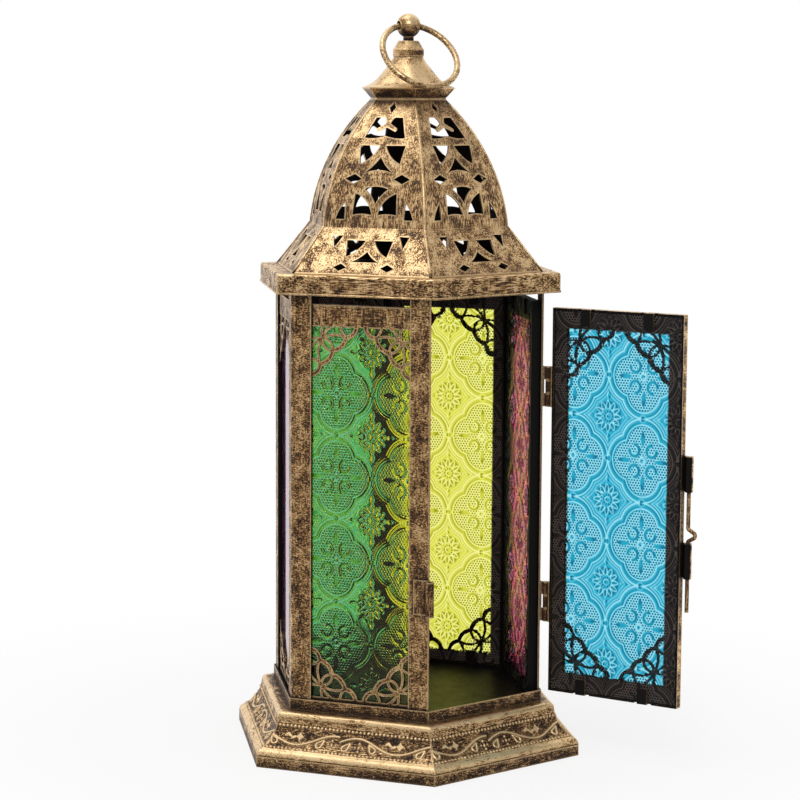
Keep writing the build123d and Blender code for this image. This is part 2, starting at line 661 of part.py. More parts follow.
with BuildPart() as crown_plate:
    with BuildSketch(Plane.XY.offset(CROWN_PLATE_FOOT)):
        RegularPolygon(DOME_TOP_RADIUS, SIDES)
        Circle(stem_hole, mode=Mode.SUBTRACT)
    extrude(amount=SHEET)
save(crown_plate.part, "crown_plate")

corner_wall = SHEET / FLAT_SHARE  # sheet's thickness measured at a corner

with BuildPart() as cap_drum:
    for wall, mode in ((0, Mode.ADD), (corner_wall, Mode.SUBTRACT)):
        with BuildSketch(Plane.XY.offset(DRUM_FOOT)) as drum_bottom:
            RegularPolygon(DOME_TOP_RADIUS - wall, SIDES)
        with BuildSketch(Plane.XY.offset(RIM_HEIGHT)) as drum_top:
            RegularPolygon(CAP_RIM_RADIUS - wall, SIDES)
        loft([drum_bottom.sketch, drum_top.sketch], ruled=True, mode=mode)
save(cap_drum.part, "cap_drum")


def bell_sections(wall):
    """Level sections of the bell, from a hexagon at its rim to nearly a circle at its neck."""
    sections = []
    for up, way_in, roundness in BELL_SHARES:
        radius = CAP_RIM_RADIUS + way_in * (BELL_NECK_RADIUS - CAP_RIM_RADIUS) - wall
        with BuildSketch(Plane.XY.offset(BELL_FOOT + up * BELL_HEIGHT)) as section:
            RegularPolygon(radius, SIDES)
            fillet(section.vertices(), roundness * radius * FLAT_SHARE)
        sections.append(section.sketch)
    return sections


with BuildPart() as cap_bell:
    loft(bell_sections(0))
    loft(bell_sections(corner_wall), mode=Mode.SUBTRACT)
    with BuildSketch(Plane.XY.offset(COLLAR_FOOT - FIT - SHEET)):
        Circle(BELL_NECK_RADIUS * FLAT_SHARE - SHEET / 2)
        Circle(stem_hole, mode=Mode.SUBTRACT)
    extrude(amount=SHEET)
save(cap_bell.part, "cap_bell")

with BuildPart() as finial_collar:
    with BuildSketch(Plane.XZ):
        with BuildLine():
            Polyline(
                (stem_hole, COLLAR_FOOT),
                (COLLAR_RADIUS, COLLAR_FOOT),
                (COLLAR_RADIUS, COLLAR_FOOT + COLLAR_BAND),
                (COLLAR_TOP_RADIUS, COLLAR_TOP),
                (stem_hole, COLLAR_TOP),
                close=True,
            )
        make_face()
    revolve(axis=Axis.Z)
save(finial_collar.part, "finial_collar")

nut_foot = CROWN_PLATE_FOOT - FIT - NUT_HEIGHT
ring_axis = Vector(1, 0, 0).rotate(Axis.Z, RING_AXIS_TURN)
ring_hole = RING_WIRE + RING_PLAY
ball_centre = Vector(0, 0, BALL_HEIGHT)

with BuildPart() as finial_ball:
    with BuildSketch(Plane.XY.offset(nut_foot - NUT_TAIL)):
        Circle(STEM_RADIUS)
    extrude(amount=BALL_HEIGHT - nut_foot + NUT_TAIL)
    with Locations(ball_centre):
        Sphere(BALL_RADIUS)
    with BuildSketch(Plane(ball_centre, z_dir=ring_axis)):
        Circle(ring_hole)
    extrude(amount=BALL_RADIUS + OVERRUN, both=True, mode=Mode.SUBTRACT)
save(finial_ball.part, "finial_ball")

with BuildPart() as finial_nut:
    with BuildSketch(Plane.XY.offset(nut_foot)):
        RegularPolygon(NUT_RADIUS, SIDES)
        Circle(STEM_RADIUS + FIT, mode=Mode.SUBTRACT)
    extrude(amount=NUT_HEIGHT)
save(finial_nut.part, "finial_nut")

# Hanging ring: its plane hangs from the cross hole and clears the furthest corner of the cap's rim

forward = ring_axis.rotate(Axis.Z, -90)
corners = [Vector(CAP_RIM_RADIUS, 0, 0).rotate(Axis.Z, FACE_TURN * number) for number in range(SIDES)]
rim_reach = max(corner.dot(forward) for corner in corners)
rim_drop = BALL_HEIGHT - RIM_HEIGHT
rim_distance = math.hypot(rim_reach, rim_drop)
lean = math.atan2(rim_reach, rim_drop) + math.asin((RING_WIRE + RING_CLEARANCE) / rim_distance)
hang = forward * math.sin(lean) - Vector(0, 0, math.cos(lean))

# The curved wire is centred in the hole: half its rise over the hole's length lies on each side of the axis
half_hole = math.sqrt(BALL_RADIUS**2 - ring_hole**2)
ring_ride = (RING_RADIUS - math.sqrt(RING_RADIUS**2 - half_hole**2)) / 2
ring_centre = ball_centre + hang * (RING_RADIUS - ring_ride)

with BuildPart(Plane(ring_centre, x_dir=ring_axis, z_dir=ring_axis.cross(hang))) as hanging_ring:
    Torus(RING_RADIUS, RING_WIRE)
save(hanging_ring.part, "hanging_ring")

print("height over all", BALL_HEIGHT + BALL_RADIUS)
print("hinge axis", HINGE_X, HINGE_Y)
print("latch axis of the shut door", LATCH_X, LATCH_Y)
print("ball centre", BALL_HEIGHT, "ring hangs forward by", math.degrees(lean))
print("bolt slides", upper_barrel - crank_top)
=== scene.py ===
# %% [markdown]
# # A six-sided candle lantern
#
# The lantern is pressed sheet metal, painted dark and rubbed over with gold, with a pane of coloured relief
# glass in every face. Its solids come ready-made as the frame, with the door standing open, so this lesson
# only adds what sheet-metal solids lack: the pressed glass, the embossed skirt, the seams and the finishes.

# %% Load the frame
import math

import bmesh
import bpy
import numpy as np
from mathutils import Matrix, Vector


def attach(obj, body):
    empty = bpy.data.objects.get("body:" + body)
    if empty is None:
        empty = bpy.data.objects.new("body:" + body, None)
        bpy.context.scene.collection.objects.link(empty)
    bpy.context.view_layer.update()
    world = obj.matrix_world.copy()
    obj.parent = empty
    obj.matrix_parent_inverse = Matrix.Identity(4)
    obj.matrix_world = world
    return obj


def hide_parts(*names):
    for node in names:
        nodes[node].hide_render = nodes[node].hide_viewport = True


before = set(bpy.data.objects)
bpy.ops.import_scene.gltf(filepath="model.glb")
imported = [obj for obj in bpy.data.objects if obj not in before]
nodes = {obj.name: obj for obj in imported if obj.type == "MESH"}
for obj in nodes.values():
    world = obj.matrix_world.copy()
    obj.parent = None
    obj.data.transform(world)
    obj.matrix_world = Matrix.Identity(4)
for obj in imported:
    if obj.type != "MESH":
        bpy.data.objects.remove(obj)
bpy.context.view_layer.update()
scene = bpy.context.scene

# %% [markdown]
# ## Small helpers
#
# The lantern has six sides, so most places on it are a direction outwards from its axis and a height. A new
# piece always comes about in the same way: a bmesh is shaped, it becomes a mesh, and an object shows that
# mesh. Numpy reads the points of a mesh all at once, which a loop in Python would do far more slowly. Each
# of these steps gets a name here, because every piece below uses it.

# %% Directions, meshes and objects
MM = 0.001  # the sizes below are in millimetres, and Blender counts in metres
UP = Vector((0, 0, 1))


def outward_at(degrees):
    """The level direction that lies so many degrees round the lantern's axis."""
    turn = math.radians(degrees)
    return Vector((math.cos(turn), math.sin(turn), 0))


def turn_to(first, second, third):
    """The matrix that turns X, Y and Z to three directions."""
    return Matrix((first, second, third)).transposed().to_4x4()


def finish_mesh(shape, name):
    mesh = bpy.data.meshes.new(name)
    shape.to_mesh(mesh)
    shape.free()
    return mesh


def points_of(mesh):
    points = np.empty(len(mesh.vertices) * 3)
    mesh.vertices.foreach_get("co", points)
    return points.reshape(-1, 3)


def keep_on_points(mesh, name, values):
    """A number for each point, which a material can read by its name."""
    kept = mesh.attributes.new(name, "FLOAT", "POINT")
    kept.data.foreach_set("value", values.astype(np.float32))


def show(name, data):
    shown = bpy.data.objects.new(name, data)
    scene.collection.objects.link(shown)
    return shown


print("the front looks along", tuple(round(value, 2) for value in outward_at(-90)))

# %% [markdown]
# ## Camera
#
# The picture is taken from a little above the middle and from the left of the open door. A long lens stands
# about a metre away, which keeps the six corners nearly upright. A camera could be turned by three angles,
# but those are hard to picture, so it is built from three directions: to its right, up, and back from the
# lantern.

# %% Camera
AZIMUTH, ELEVATION, ROLL = (math.radians(turn) for turn in (-38.894, 7.261, 0.314))
AIM_HEIGHT, AIM_RIGHT, AIM_UP = 0.140, -0.002459, -0.007015  # metres
CAMERA_DISTANCE = 0.960885
FOCAL_PIXELS, PICTURE_PIXELS = 2499.1, 800
SENSOR = 36

back = Vector((
    math.sin(AZIMUTH) * math.cos(ELEVATION),
    -math.cos(AZIMUTH) * math.cos(ELEVATION),
    math.sin(ELEVATION),
))
level = Vector((math.cos(AZIMUTH), math.sin(AZIMUTH), 0))
upright = back.cross(level)
target = UP * AIM_HEIGHT + level * AIM_RIGHT + upright * AIM_UP
right = level * math.cos(ROLL) + upright * math.sin(ROLL)
up = upright * math.cos(ROLL) - level * math.sin(ROLL)

lens = bpy.data.cameras.new("camera")
lens.sensor_width = SENSOR
lens.lens = FOCAL_PIXELS * SENSOR / PICTURE_PIXELS
lens.clip_start = 0.05
camera = show("camera", lens)
camera.matrix_world = Matrix.Translation(target + back * CAMERA_DISTANCE) @ turn_to(right, up, back)
scene.camera = camera
print("camera at", tuple(round(value, 3) for value in camera.location))

# %% [markdown]
# ## Writing materials as sums
#
# A shader is a graph, and a long graph built node by node is hard to read. One small class stands for the
# output of a node. Adding, subtracting and multiplying these outputs adds Math nodes, so that a mask reads
# like the sum that it is, and one method adds any other kind of node.

# %% Wires between shader nodes
class Wire:
    """One output in a node tree. Arithmetic adds Math nodes, and `node` adds any other node."""

    def __init__(self, tree, socket=None):
        self.tree = tree
        self.socket = socket

    def node(self, kind, output=0, settings=None, inputs=None):
        made = self.tree.nodes.new(kind)
        for name, value in (settings or {}).items():
            if name == "stops":
                ramp = made.color_ramp.elements
                while len(ramp) < len(value):
                    ramp.new(0.5)
                for element, (place, colour) in zip(ramp, value):
                    element.position = place
                    element.color = colour
            else:
                setattr(made, name, value)
        for name, value in (inputs or {}).items():
            if isinstance(value, Wire):
                self.tree.links.new(value.socket, made.inputs[name])
            else:
                made.inputs[name].default_value = value
        return Wire(self.tree, made.outputs[output] if made.outputs else None)

    def other(self, output):
        return Wire(self.tree, self.socket.node.outputs[output])

    def math(self, operation, *values):
        return self.node("ShaderNodeMath", settings={"operation": operation}, inputs=dict(enumerate(values)))

    def __add__(self, other):
        return self.math("ADD", self, other)

    def __sub__(self, other):
        return self.math("SUBTRACT", self, other)

    def __rsub__(self, other):
        return self.math("SUBTRACT", other, self)

    def __mul__(self, other):
        return self.math("MULTIPLY", self, other)

    __radd__ = __add__
    __rmul__ = __mul__

    def most(self, other):
        return self.math("MAXIMUM", self, other)

    def least(self, other):
        return self.math("MINIMUM", self, other)

    def dot(self, direction):
        """How far this vector goes along a direction."""
        return self.node(
            "ShaderNodeVectorMath", "Value", {"operation": "DOT_PRODUCT"}, {0: self, 1: direction}
        )

    def step(self, low, high, to_low=0.0, to_high=1.0):
        """A smooth step: to_low below low, to_high above high."""
        return self.node(
            "ShaderNodeMapRange",
            settings={"interpolation_type": "SMOOTHSTEP"},
            inputs={"Value": self, "From Min": low, "From Max": high, "To Min": to_low, "To Max": to_high},
        )

    def blend(self, first, second):
        """This wire is how far to go from the first colour to the second."""
        return self.node("ShaderNodeMix", 2, {"data_type": "RGBA"}, {0: self, 6: first, 7: second})


def blank_tree(owner):
    """Empty the shader graph of a material or world, ready for wires."""
    owner.use_nodes = True
    owner.node_tree.nodes.clear()
    return Wire(owner.node_tree)


print("wires can", ", ".join(name for name in vars(Wire) if not name.startswith("_")))

# %% [markdown]
# Colours are easiest to judge as a screen shows them, while a shader reckons in amounts of light. One
# function turns the first into the second, so that every colour below can be written as it looks.

# %% Colours
WHITE = (1, 1, 1, 1)


def colour(red, green, blue):
    """A colour as a screen shows it, from 0 to 255, as the linear values that shaders use."""
    parts = [value / 255 for value in (red, green, blue)]
    return (*(p / 12.92 if p <= 0.04045 else ((p + 0.055) / 1.055) ** 2.4 for p in parts), 1)


GOLD, PALE_GOLD = colour(200, 152, 92), colour(244, 212, 163)
DARK, BROWN, BLACK = colour(36, 27, 22), colour(108, 76, 49), colour(13, 10, 9)
print("gold as a shader sees it", [round(value, 3) for value in GOLD])

# %% [markdown]
# ## Studio
#
# A product picture has a white sweep. The floor and the world show plain white to the camera and to what
# metal and glass reflect or let through, and light the lantern at an everyday level otherwise. Only the
# camera's side of the room is dimmer in reflections, because the paper does not reach round to it. The
# direction of that side is fixed, so it stays where it is when the lantern is looked at from elsewhere.

# %% The room
ROOM_LIGHT = 0.45  # strength of the light that the room sheds on the lantern
ROOM_DIMMING = 0.72  # how much dimmer the unlit side is in reflections
UNLIT_LEAN = 0.6  # the unlit side is behind the camera, and this much to its right
ROOM_FADE = (-0.3, 0.6)  # how far towards that side the dimming begins, and is full


def seen_rays(root):
    """1 for rays from the camera, from gloss and through glass."""
    path = root.node("ShaderNodeLightPath", "Is Camera Ray")
    return path.most(path.other("Is Glossy Ray")).most(path.other("Is Transmission Ray"))


def dimmed_white(root, kind, share):
    """White light from a shader of a kind, less a share of it in reflections."""
    gloss = root.node("ShaderNodeLightPath", "Is Glossy Ray")
    return root.node(kind, inputs={"Color": WHITE, "Strength": 1 - gloss * share})


world = bpy.data.worlds.new("studio")
root = blank_tree(world)
unlit_side = (back + UNLIT_LEAN * back.cross(-UP)).normalized()
towards_room = root.node("ShaderNodeTexCoord", "Generated").dot(tuple(unlit_side))
room = root.node("ShaderNodeBackground", inputs={"Color": WHITE, "Strength": ROOM_LIGHT})
sweep = dimmed_white(root, "ShaderNodeBackground", towards_room.step(*ROOM_FADE, 0.0, ROOM_DIMMING))
shown = root.node("ShaderNodeMixShader", inputs={0: seen_rays(root), 1: room, 2: sweep})
root.node("ShaderNodeOutputWorld", inputs={"Surface": shown})
scene.world = world
print("the room is dimmest along", tuple(round(value, 2) for value in unlit_side))

# %% [markdown]
# The floor is the same white paper. It keeps some of its own shading near the lantern, so the lantern still
# stands in a soft shadow, and it fades to plain white further out.

# %% The floor
FLOOR_REACH = 2.0  # metres from its middle to its sides
PAPER = (0.92, 0.92, 0.92, 1)
SHADOW_NEAR, SHADOW_FAR = 0.05, 0.3  # metres from the axis over which the shadow fades out
NEAR_GLOW = 0.82  # how white the floor shows beside the lantern
FLOOR_DIMMING = 0.7
FLOOR_FADE = (-0.05, 0.1)  # metres towards the camera at which that dimming begins, and is full

floor_paper = bpy.data.materials.new("floor_paper")
root = blank_tree(floor_paper)
place = root.node("ShaderNodeTexCoord", "Object")
away = root.node("ShaderNodeVectorMath", "Value", {"operation": "LENGTH"}, {0: place})
paper = root.node("ShaderNodeBsdfDiffuse", inputs={"Color": PAPER})
towards_room = place.dot(tuple(back))
glow = dimmed_white(root, "ShaderNodeEmission", towards_room.step(*FLOOR_FADE, 0.0, FLOOR_DIMMING))
plain = seen_rays(root) * away.step(SHADOW_NEAR, SHADOW_FAR, NEAR_GLOW, 1.0)
shown = root.node("ShaderNodeMixShader", inputs={0: plain, 1: paper, 2: glow})
root.node("ShaderNodeOutputMaterial", inputs={"Surface": shown})

sheet = bmesh.new()
bmesh.ops.create_grid(sheet, x_segments=1, y_segments=1, size=FLOOR_REACH)
floor = show("floor", finish_mesh(sheet, "floor"))
floor.data.materials.append(floor_paper)
print("floor", tuple(floor.dimensions), "metres")

# %% [markdown]
# Three round lamps give the light its direction. The key stands above the camera, a weak one fills in from
# the right, and one high up catches the dome and the ledges. Large discs keep the shadows soft.

# %% Lamps
LAMPS = {  # place and diameter in metres, power in watts
    "key": ((-0.75, -0.85, 0.95), 0.5, 6),
    "right": ((0.95, -0.9, 0.5), 0.9, 0.8),
    "top": ((-0.3, 0.15, 1.2), 0.9, 3.2),
}
LAMP_AIM = UP * 0.13
for name, (place, size, power) in LAMPS.items():
    lamp = bpy.data.lights.new(name, "AREA")
    lamp.shape = "DISK"
    lamp.size = size
    lamp.energy = power
    aim = LAMP_AIM - Vector(place)
    turned = aim.to_track_quat("-Z", "Y").to_matrix().to_4x4()
    show(name, lamp).matrix_world = Matrix.Translation(place) @ turned
print(len(LAMPS), "lamps,", sum(power for _, _, power in LAMPS.values()), "watts in all")

# %% [markdown]
# ## Rubbed bronze
#
# The metal is painted nearly black and then rubbed with gold, by a brush that runs along each face. The gold
# lies in streaks and specks, in thicker and thinner patches. It catches on every edge and misses the hollows.
# Painting that by hand would take a map for each piece. Noise that is stretched along the face gives the
# streaks instead, so first a point has to know how far along its face it lies.

# %% Streaks along a face
WRAP_RADIUS = 0.05  # metres; turns an angle round the lantern into a distance along its faces


def face_lines(root, outward=None):
    """A point's place, its distance along its face, its height, its distance from the axis, and how far its
    surface looks outwards: away from the axis, or along a given direction."""
    place = root.node("ShaderNodeTexCoord", "Object")
    x = root.node("ShaderNodeSeparateXYZ", "X", inputs={0: place})
    y, z = x.other("Y"), x.other("Z")
    if outward is None:
        along = root.math("ARCTAN2", y, x) * WRAP_RADIUS
        flat = root.node("ShaderNodeCombineXYZ", inputs={"X": x, "Y": y})
        out = root.node("ShaderNodeVectorMath", settings={"operation": "NORMALIZE"}, inputs={0: flat})
    else:
        along = y * outward.x - x * outward.y
        out = tuple(outward)
    depth = root.math("SQRT", x * x + y * y)
    return place, along, z, depth, place.other("Normal").dot(out)


def noise(root, place, scale, detail=4.0, roughness=0.6):
    return root.node(
        "ShaderNodeTexNoise",
        inputs={"Vector": place, "Scale": scale, "Detail": detail, "Roughness": roughness},
    )


def streaks(root, along, height, depth, run, rise):
    """Noise drawn out along one direction: `run` and `rise` are how often it changes in a metre."""
    place = root.node(
        "ShaderNodeCombineXYZ", inputs={"X": along * run, "Y": height * rise, "Z": depth * max(run, rise)}
    )
    return noise(root, place, scale=1.0, detail=3.0)


print("a face is about", round(WRAP_RADIUS * math.radians(60) / MM), "mm wide on the wrap")

# %% [markdown]
# Edges and hollows need no map either. The Bevel node gives the direction a surface would have if its edges
# were rounded, and where that differs from its own direction there is an edge. The Ambient Occlusion node
# tells how much of the sky a point sees, which is little in a hollow. One recipe made of these serves every
# sheet, and it leaves the backs of the sheets black.

# %% The recipe for rubbed metal
STREAK_LONG, STREAK_FINE = 230, 2400  # changes in a metre along a streak and across it
SPECK_SCALE, PATCH_SCALE = 2300, 190
HOLLOW_REACH, EDGE_RADIUS, BRUSH_DEPTH = 6 * MM, 1.2 * MM, 0.05 * MM
OPEN_SKY = 0.95  # what an open face sees of the sky
GOLD_PULL, HOLLOW_PULL, EMBOSS_PULL = 0.25, 0.3, 0.24  # how strongly each one moves the cover of gold
EMBOSS_GROUND = 0.08  # what the ground between embossed lines loses
COVER_LOW, COVER_HIGH = 0.4, 0.6  # the cover at which the gold begins, and at which it is full
EDGE_BEND, EDGE_SKY = (0.01, 0.09), (0.45, 0.8)  # the same for the bend of an edge, and the sky it sees
EDGE_SPECKS, EDGE_LEAST = (0.3, 0.5), 0.7  # between the specks an edge keeps this share of its gold
BACK_BLUR = 0.1
BRUSH_SHARE = 0.6  # of the bumps, of which specks are the rest
METAL_COVER, PAINT_METAL, GOLD_METAL = (0.3, 0.9), 0.1, 0.75  # how metallic the paint and the gold are
PAINT_ROUGHNESS, GOLD_POLISH, SPECK_ROUGHNESS = 0.52, 0.16, 0.2


def worn_edges(root, specks, hollow):
    """How much gold the edges hold: all of it where they stand out, none in a hollow."""
    rounded = root.node("ShaderNodeBevel", settings={"samples": 6}, inputs={"Radius": EDGE_RADIUS})
    bent = 1 - rounded.dot(root.node("ShaderNodeNewGeometry", "Normal"))
    speckled = specks.step(*EDGE_SPECKS, EDGE_LEAST, 1.0)
    return bent.step(*EDGE_BEND) * speckled * hollow.step(*EDGE_SKY)


def rubbed_metal(name, level, gold, outward=None, back_below=-0.2, raised=False, tint=GOLD, underside_shade=0.05,
                 fleck=0.45, blotch=0.3, paint=DARK):
    """Dark paint rubbed with gold. `level` is the share of streaks that run level and not upright, `gold` is
    how much gold there is, `underside_shade` is painted light and shade: how much more gold faces that look
    up get and how much less the undersides get, `fleck` the share of specks among the streaks and `blotch`
    how patchy it is. `raised` reads the height of embossing from the piece's attribute.
    `tint` is the gold that is rubbed on, and `paint` the coat below it. What looks outwards by less than
    `back_below` is black."""
    material = bpy.data.materials.new(name)
    root = blank_tree(material)
    place, along, height, depth, facing = face_lines(root, outward)
    brushed = streaks(root, along, height, depth, STREAK_LONG, STREAK_FINE) * level
    brushed = brushed + streaks(root, along, height, depth, STREAK_FINE, STREAK_LONG) * (1 - level)
    specks = noise(root, place, SPECK_SCALE, roughness=0.65)
    patches = noise(root, place, PATCH_SCALE)
    hollow = root.node("ShaderNodeAmbientOcclusion", "AO", {"samples": 4}, {"Distance": HOLLOW_REACH})
    rise = root.node("ShaderNodeSeparateXYZ", "Z", inputs={0: place.other("Normal")})
    cover = brushed * (1 - fleck) + specks * fleck + (patches - 0.5) * blotch + (gold - 0.5) * GOLD_PULL
    # painted light and shade: faces that look up get more gold and undersides less, as light from above would
    # fall on them
    cover = cover + (hollow - OPEN_SKY) * HOLLOW_PULL + rise * underside_shade
    if raised:
        emboss = root.node("ShaderNodeAttribute", "Fac", {"attribute_name": "emboss"})
        cover = cover + emboss * EMBOSS_PULL - EMBOSS_GROUND
    bare = cover.step(COVER_LOW, COVER_HIGH).most(worn_edges(root, specks, hollow))

    front = root.node(
        "ShaderNodeValToRGB",
        settings={"stops": ((0.05, paint), (0.45, BROWN), (0.75, tint), (1.0, PALE_GOLD))},
        inputs={"Fac": bare},
    )
    inner = facing.step(back_below - BACK_BLUR, back_below + BACK_BLUR, 1.0, 0.0)
    marks = brushed * BRUSH_SHARE + specks * (1 - BRUSH_SHARE)
    bump = root.node("ShaderNodeBump", inputs={"Strength": 0.25, "Distance": BRUSH_DEPTH, "Height": marks})
    shader = root.node(
        "ShaderNodeBsdfPrincipled",
        inputs={
            "Base Color": inner.blend(front, BLACK),
            "Metallic": bare.step(*METAL_COVER, PAINT_METAL, GOLD_METAL) * (1 - inner),
            "Roughness": PAINT_ROUGHNESS - bare * GOLD_POLISH + (specks - 0.5) * SPECK_ROUGHNESS,
            "Specular IOR Level": 0.2,
            "Normal": bump,
        },
    )
    root.node("ShaderNodeOutputMaterial", inputs={"Surface": shader})
    return material


streak_size = [round(1 / often / MM, 1) for often in (STREAK_LONG, STREAK_FINE)]
print("a streak is about", streak_size[0], "by", streak_size[1], "mm")

# %% [markdown]
# The recipe is mixed anew for each kind of piece, since the brush ran another way on each and pressed harder
# on some. The door stands open, so its own outside looks along another direction than the faces of the body.
# Hinges are a dull reddish brown. The floor inside stays black, and so do the walls of the frame beside the
# doorway. A solid takes the first finish in the list that its name begins with.

# %% Give each solid its finish
DOOR_TURN, BESIDE_DOOR_TURN = 19.3, -30  # where the open door and the face beside it look, in degrees
NO_BACK = -2  # for pieces that are rubbed all round
door_out, side_out = outward_at(DOOR_TURN), outward_at(BESIDE_DOOR_TURN)
finishes = {
    "foot_band": rubbed_metal("rubbed_foot", 0.9, 0.6),
    "floor_tray": rubbed_metal("rubbed_tray", 0.9, 0.42, back_below=0.5),
    "post_hinge": rubbed_metal("dark_post", 0.5, 0.0, tint=colour(120, 80, 52)),
    "post_": rubbed_metal("rubbed_posts", 0.7, 0.43, fleck=0.3),
    "panel_frame_front_right": rubbed_metal(
        "rubbed_frame_by_door", 0.55, 0.43, outward=side_out, back_below=0.3
    ),
    "panel_frame_": rubbed_metal("rubbed_frames", 0.55, 0.43, fleck=0.35),
    "door_": rubbed_metal("rubbed_door", 0.5, 0.42, outward=door_out),
    "hinge_": rubbed_metal("brown_hinges", 0.5, 0.2, back_below=NO_BACK, tint=colour(120, 66, 42)),
    "latch_keeper": rubbed_metal("rubbed_keeper", 0.4, 0.36, back_below=NO_BACK),
    "latch_bolt": rubbed_metal("rubbed_bolt", 0.3, 0.42, back_below=NO_BACK),
    "latch_": rubbed_metal("rubbed_latch", 0.3, 0.5, outward=door_out, back_below=-0.4),
    "roof_tray": rubbed_metal("rubbed_roof", 0.85, 0.48, fleck=0.2, blotch=0.4),
    "dome_panel_": rubbed_metal("rubbed_dome", 0.2, 0.45, fleck=0.15, blotch=0.5, paint=colour(70, 56, 47)),
    # the cap and the finial get stronger painted shade on their undersides
    ("crown_", "cap_"): rubbed_metal("rubbed_cap", 0.3, 0.6, underside_shade=0.08, fleck=0.6, blotch=0.45),
    "finial_": rubbed_metal("rubbed_finial", 0.3, 0.46, back_below=NO_BACK, underside_shade=0.12, blotch=0.5),
    "hanging_ring": rubbed_metal(
        "rubbed_ring", 0.5, 0.62, back_below=NO_BACK, tint=colour(176, 138, 88), fleck=0.25
    ),
}
for name, node in nodes.items():
    for start, material in finishes.items():
        if name.startswith(start):
            node.material_slots[0].material = material
            break
print(len(finishes), "metal finishes")

# %% [markdown]
# ## Lines of relief
#
# The glass and the skirt are both pressed with fine ornament. Their relief has to be real shape, since light
# plays on it and bends through it. A distance from a line, turned into a height by one of three curves, is
# all that such ornament needs: a half-round ridge along the line, a soft step across it, or a thin line with
# straight sides, which only the painted light and shade of the glass uses.

# %% Ridges, steps and lines
def half_round(distance, half_width):
    """A half-round ridge: 1 along its middle, 0 from half_width outwards."""
    return np.sqrt(np.clip(1 - (distance / half_width) ** 2, 0, None))


def soft_step(value, low, high):
    """0 below low, 1 above high, and smooth in between."""
    t = np.clip((value - low) / (high - low), 0, 1)
    return t * t * (3 - 2 * t)


def thin_line(distance, half_width):
    """A thin line: 1 along its middle, falling straight to 0."""
    return np.clip(1 - np.abs(distance) / half_width, 0, None)


print("a ridge half a width off its middle is", round(float(half_round(0.5, 1.0)), 3), "high")

# %% [markdown]
# ## Embossed skirt
#
# The skirt is six strips of sheet, pressed with a vine, teardrops and small stars between two beaded lines.
# Each strip follows one profile, from the tuck behind the foot band over a bead and up a cove to the ledge.
# A grid has the right order of points for that: each of its rows is laid along one height of the profile, and
# its rows shorten towards the top, so that neighbours meet in a mitre at the corners.

# %% The profile of the skirt
def arc(start, end, bulge, count):
    """Points on an arc from start to end. A positive bulge swells to the right of the way along."""
    start, end = np.array(start), np.array(end)
    half = np.linalg.norm(end - start) / 2
    radius = (half ** 2 + bulge ** 2) / (2 * abs(bulge))
    ahead = (end - start) / (2 * half)
    aside = np.array((ahead[1], -ahead[0])) * math.copysign(1, bulge)
    centre = (start + end) / 2 + aside * (abs(bulge) - radius)
    reach = math.asin(half / radius)
    turns = np.linspace(-reach, reach, count)[:, None]
    return centre + radius * (np.cos(turns) * aside + np.sin(turns) * ahead)


# Each point is its distance from the axis and its height, in millimetres
TUCK = ((60.83, 1.2), (60.83, 4.22))
BEAD_FOOT, COVE_FOOT, COVE_TOP, SHOULDER_TOP = (61.5, 4.26), (60.23, 6.6), (52.88, 17.9), (51.18, 19.6)
LEDGE = ((47.5, 19.6), (43.88, 19.6))
BEAD_BULGE, COVE_BULGE, SHOULDER_BULGE = 0.38, -1.7, 0.498
BEAD_ROWS, COVE_ROWS, SHOULDER_ROWS = 9, 66, 5
COVE_LENGTH = 13.7
bead = arc(BEAD_FOOT, COVE_FOOT, BEAD_BULGE, BEAD_ROWS)
cove = arc(COVE_FOOT, COVE_TOP, COVE_BULGE, COVE_ROWS + 1)[1:]
shoulder = arc(COVE_TOP, SHOULDER_TOP, SHOULDER_BULGE, SHOULDER_ROWS + 1)[1:]
profile = np.vstack((TUCK, bead, cove, shoulder, LEDGE))
cove_start = len(TUCK) + BEAD_ROWS
cove_end = cove_start + COVE_ROWS
up_cove = np.full(len(profile), -1.0)  # how far up the cove a row lies, in millimetres
up_cove[cove_start:cove_end] = np.linspace(0, COVE_LENGTH, COVE_ROWS + 1)[1:]
print(len(profile), "rows in the skirt's profile")

# %% [markdown]
# The ornament is drawn as heights. A vine rises and falls once on each half and breaks off near the middle.
# Outlined teardrops and crosses of dots fill the low side of it, a star with a sprig the high side. Drawing
# it by hand would give one strip, while distances give all six alike.

# %% The lines of the skirt: beads and a vine
BEAD_LINES = (1.8, 10.7)  # how far up the cove they lie, in millimetres, as all sizes of the ornament
BEAD_PITCH, BEAD_RADIUS, BEAD_STRETCH = 1.55, 0.46, 0.85  # stretched a little up the cove
VINES = ((-6.5, -40, -5.1), (2.5, -4.2, 40))  # where each crests, starts and ends along the strip
VINE_WAVE, VINE_SWING, VINE_MIDDLE, VINE_RADIUS = 31, 2.35, 6.1, 0.42


def beads(u, v, row):
    across = u - BEAD_PITCH * np.round(u / BEAD_PITCH)
    return half_round(np.hypot(across, (v - row) * BEAD_STRETCH), BEAD_RADIUS)


def vine(u, v, crest, start, end):
    turn = (u - crest) * 2 * math.pi / VINE_WAVE
    steep = VINE_SWING * 2 * math.pi / VINE_WAVE * np.sin(turn)
    away = (v - VINE_MIDDLE - VINE_SWING * np.cos(turn)) / np.sqrt(1 + steep ** 2)
    beyond = np.clip(np.maximum(start - u, u - end), 0, None)
    return half_round(np.hypot(away, beyond), VINE_RADIUS)


print("the vine swings from", VINE_MIDDLE - VINE_SWING, "to", VINE_MIDDLE + VINE_SWING, "mm up the cove")

# %% [markdown]
# A teardrop is half a circle below and two straight sides above, of which only the outline is pressed. A
# star is drawn with a distance that bends inwards between its points. Three slanting leaves beside it make a
# sprig.

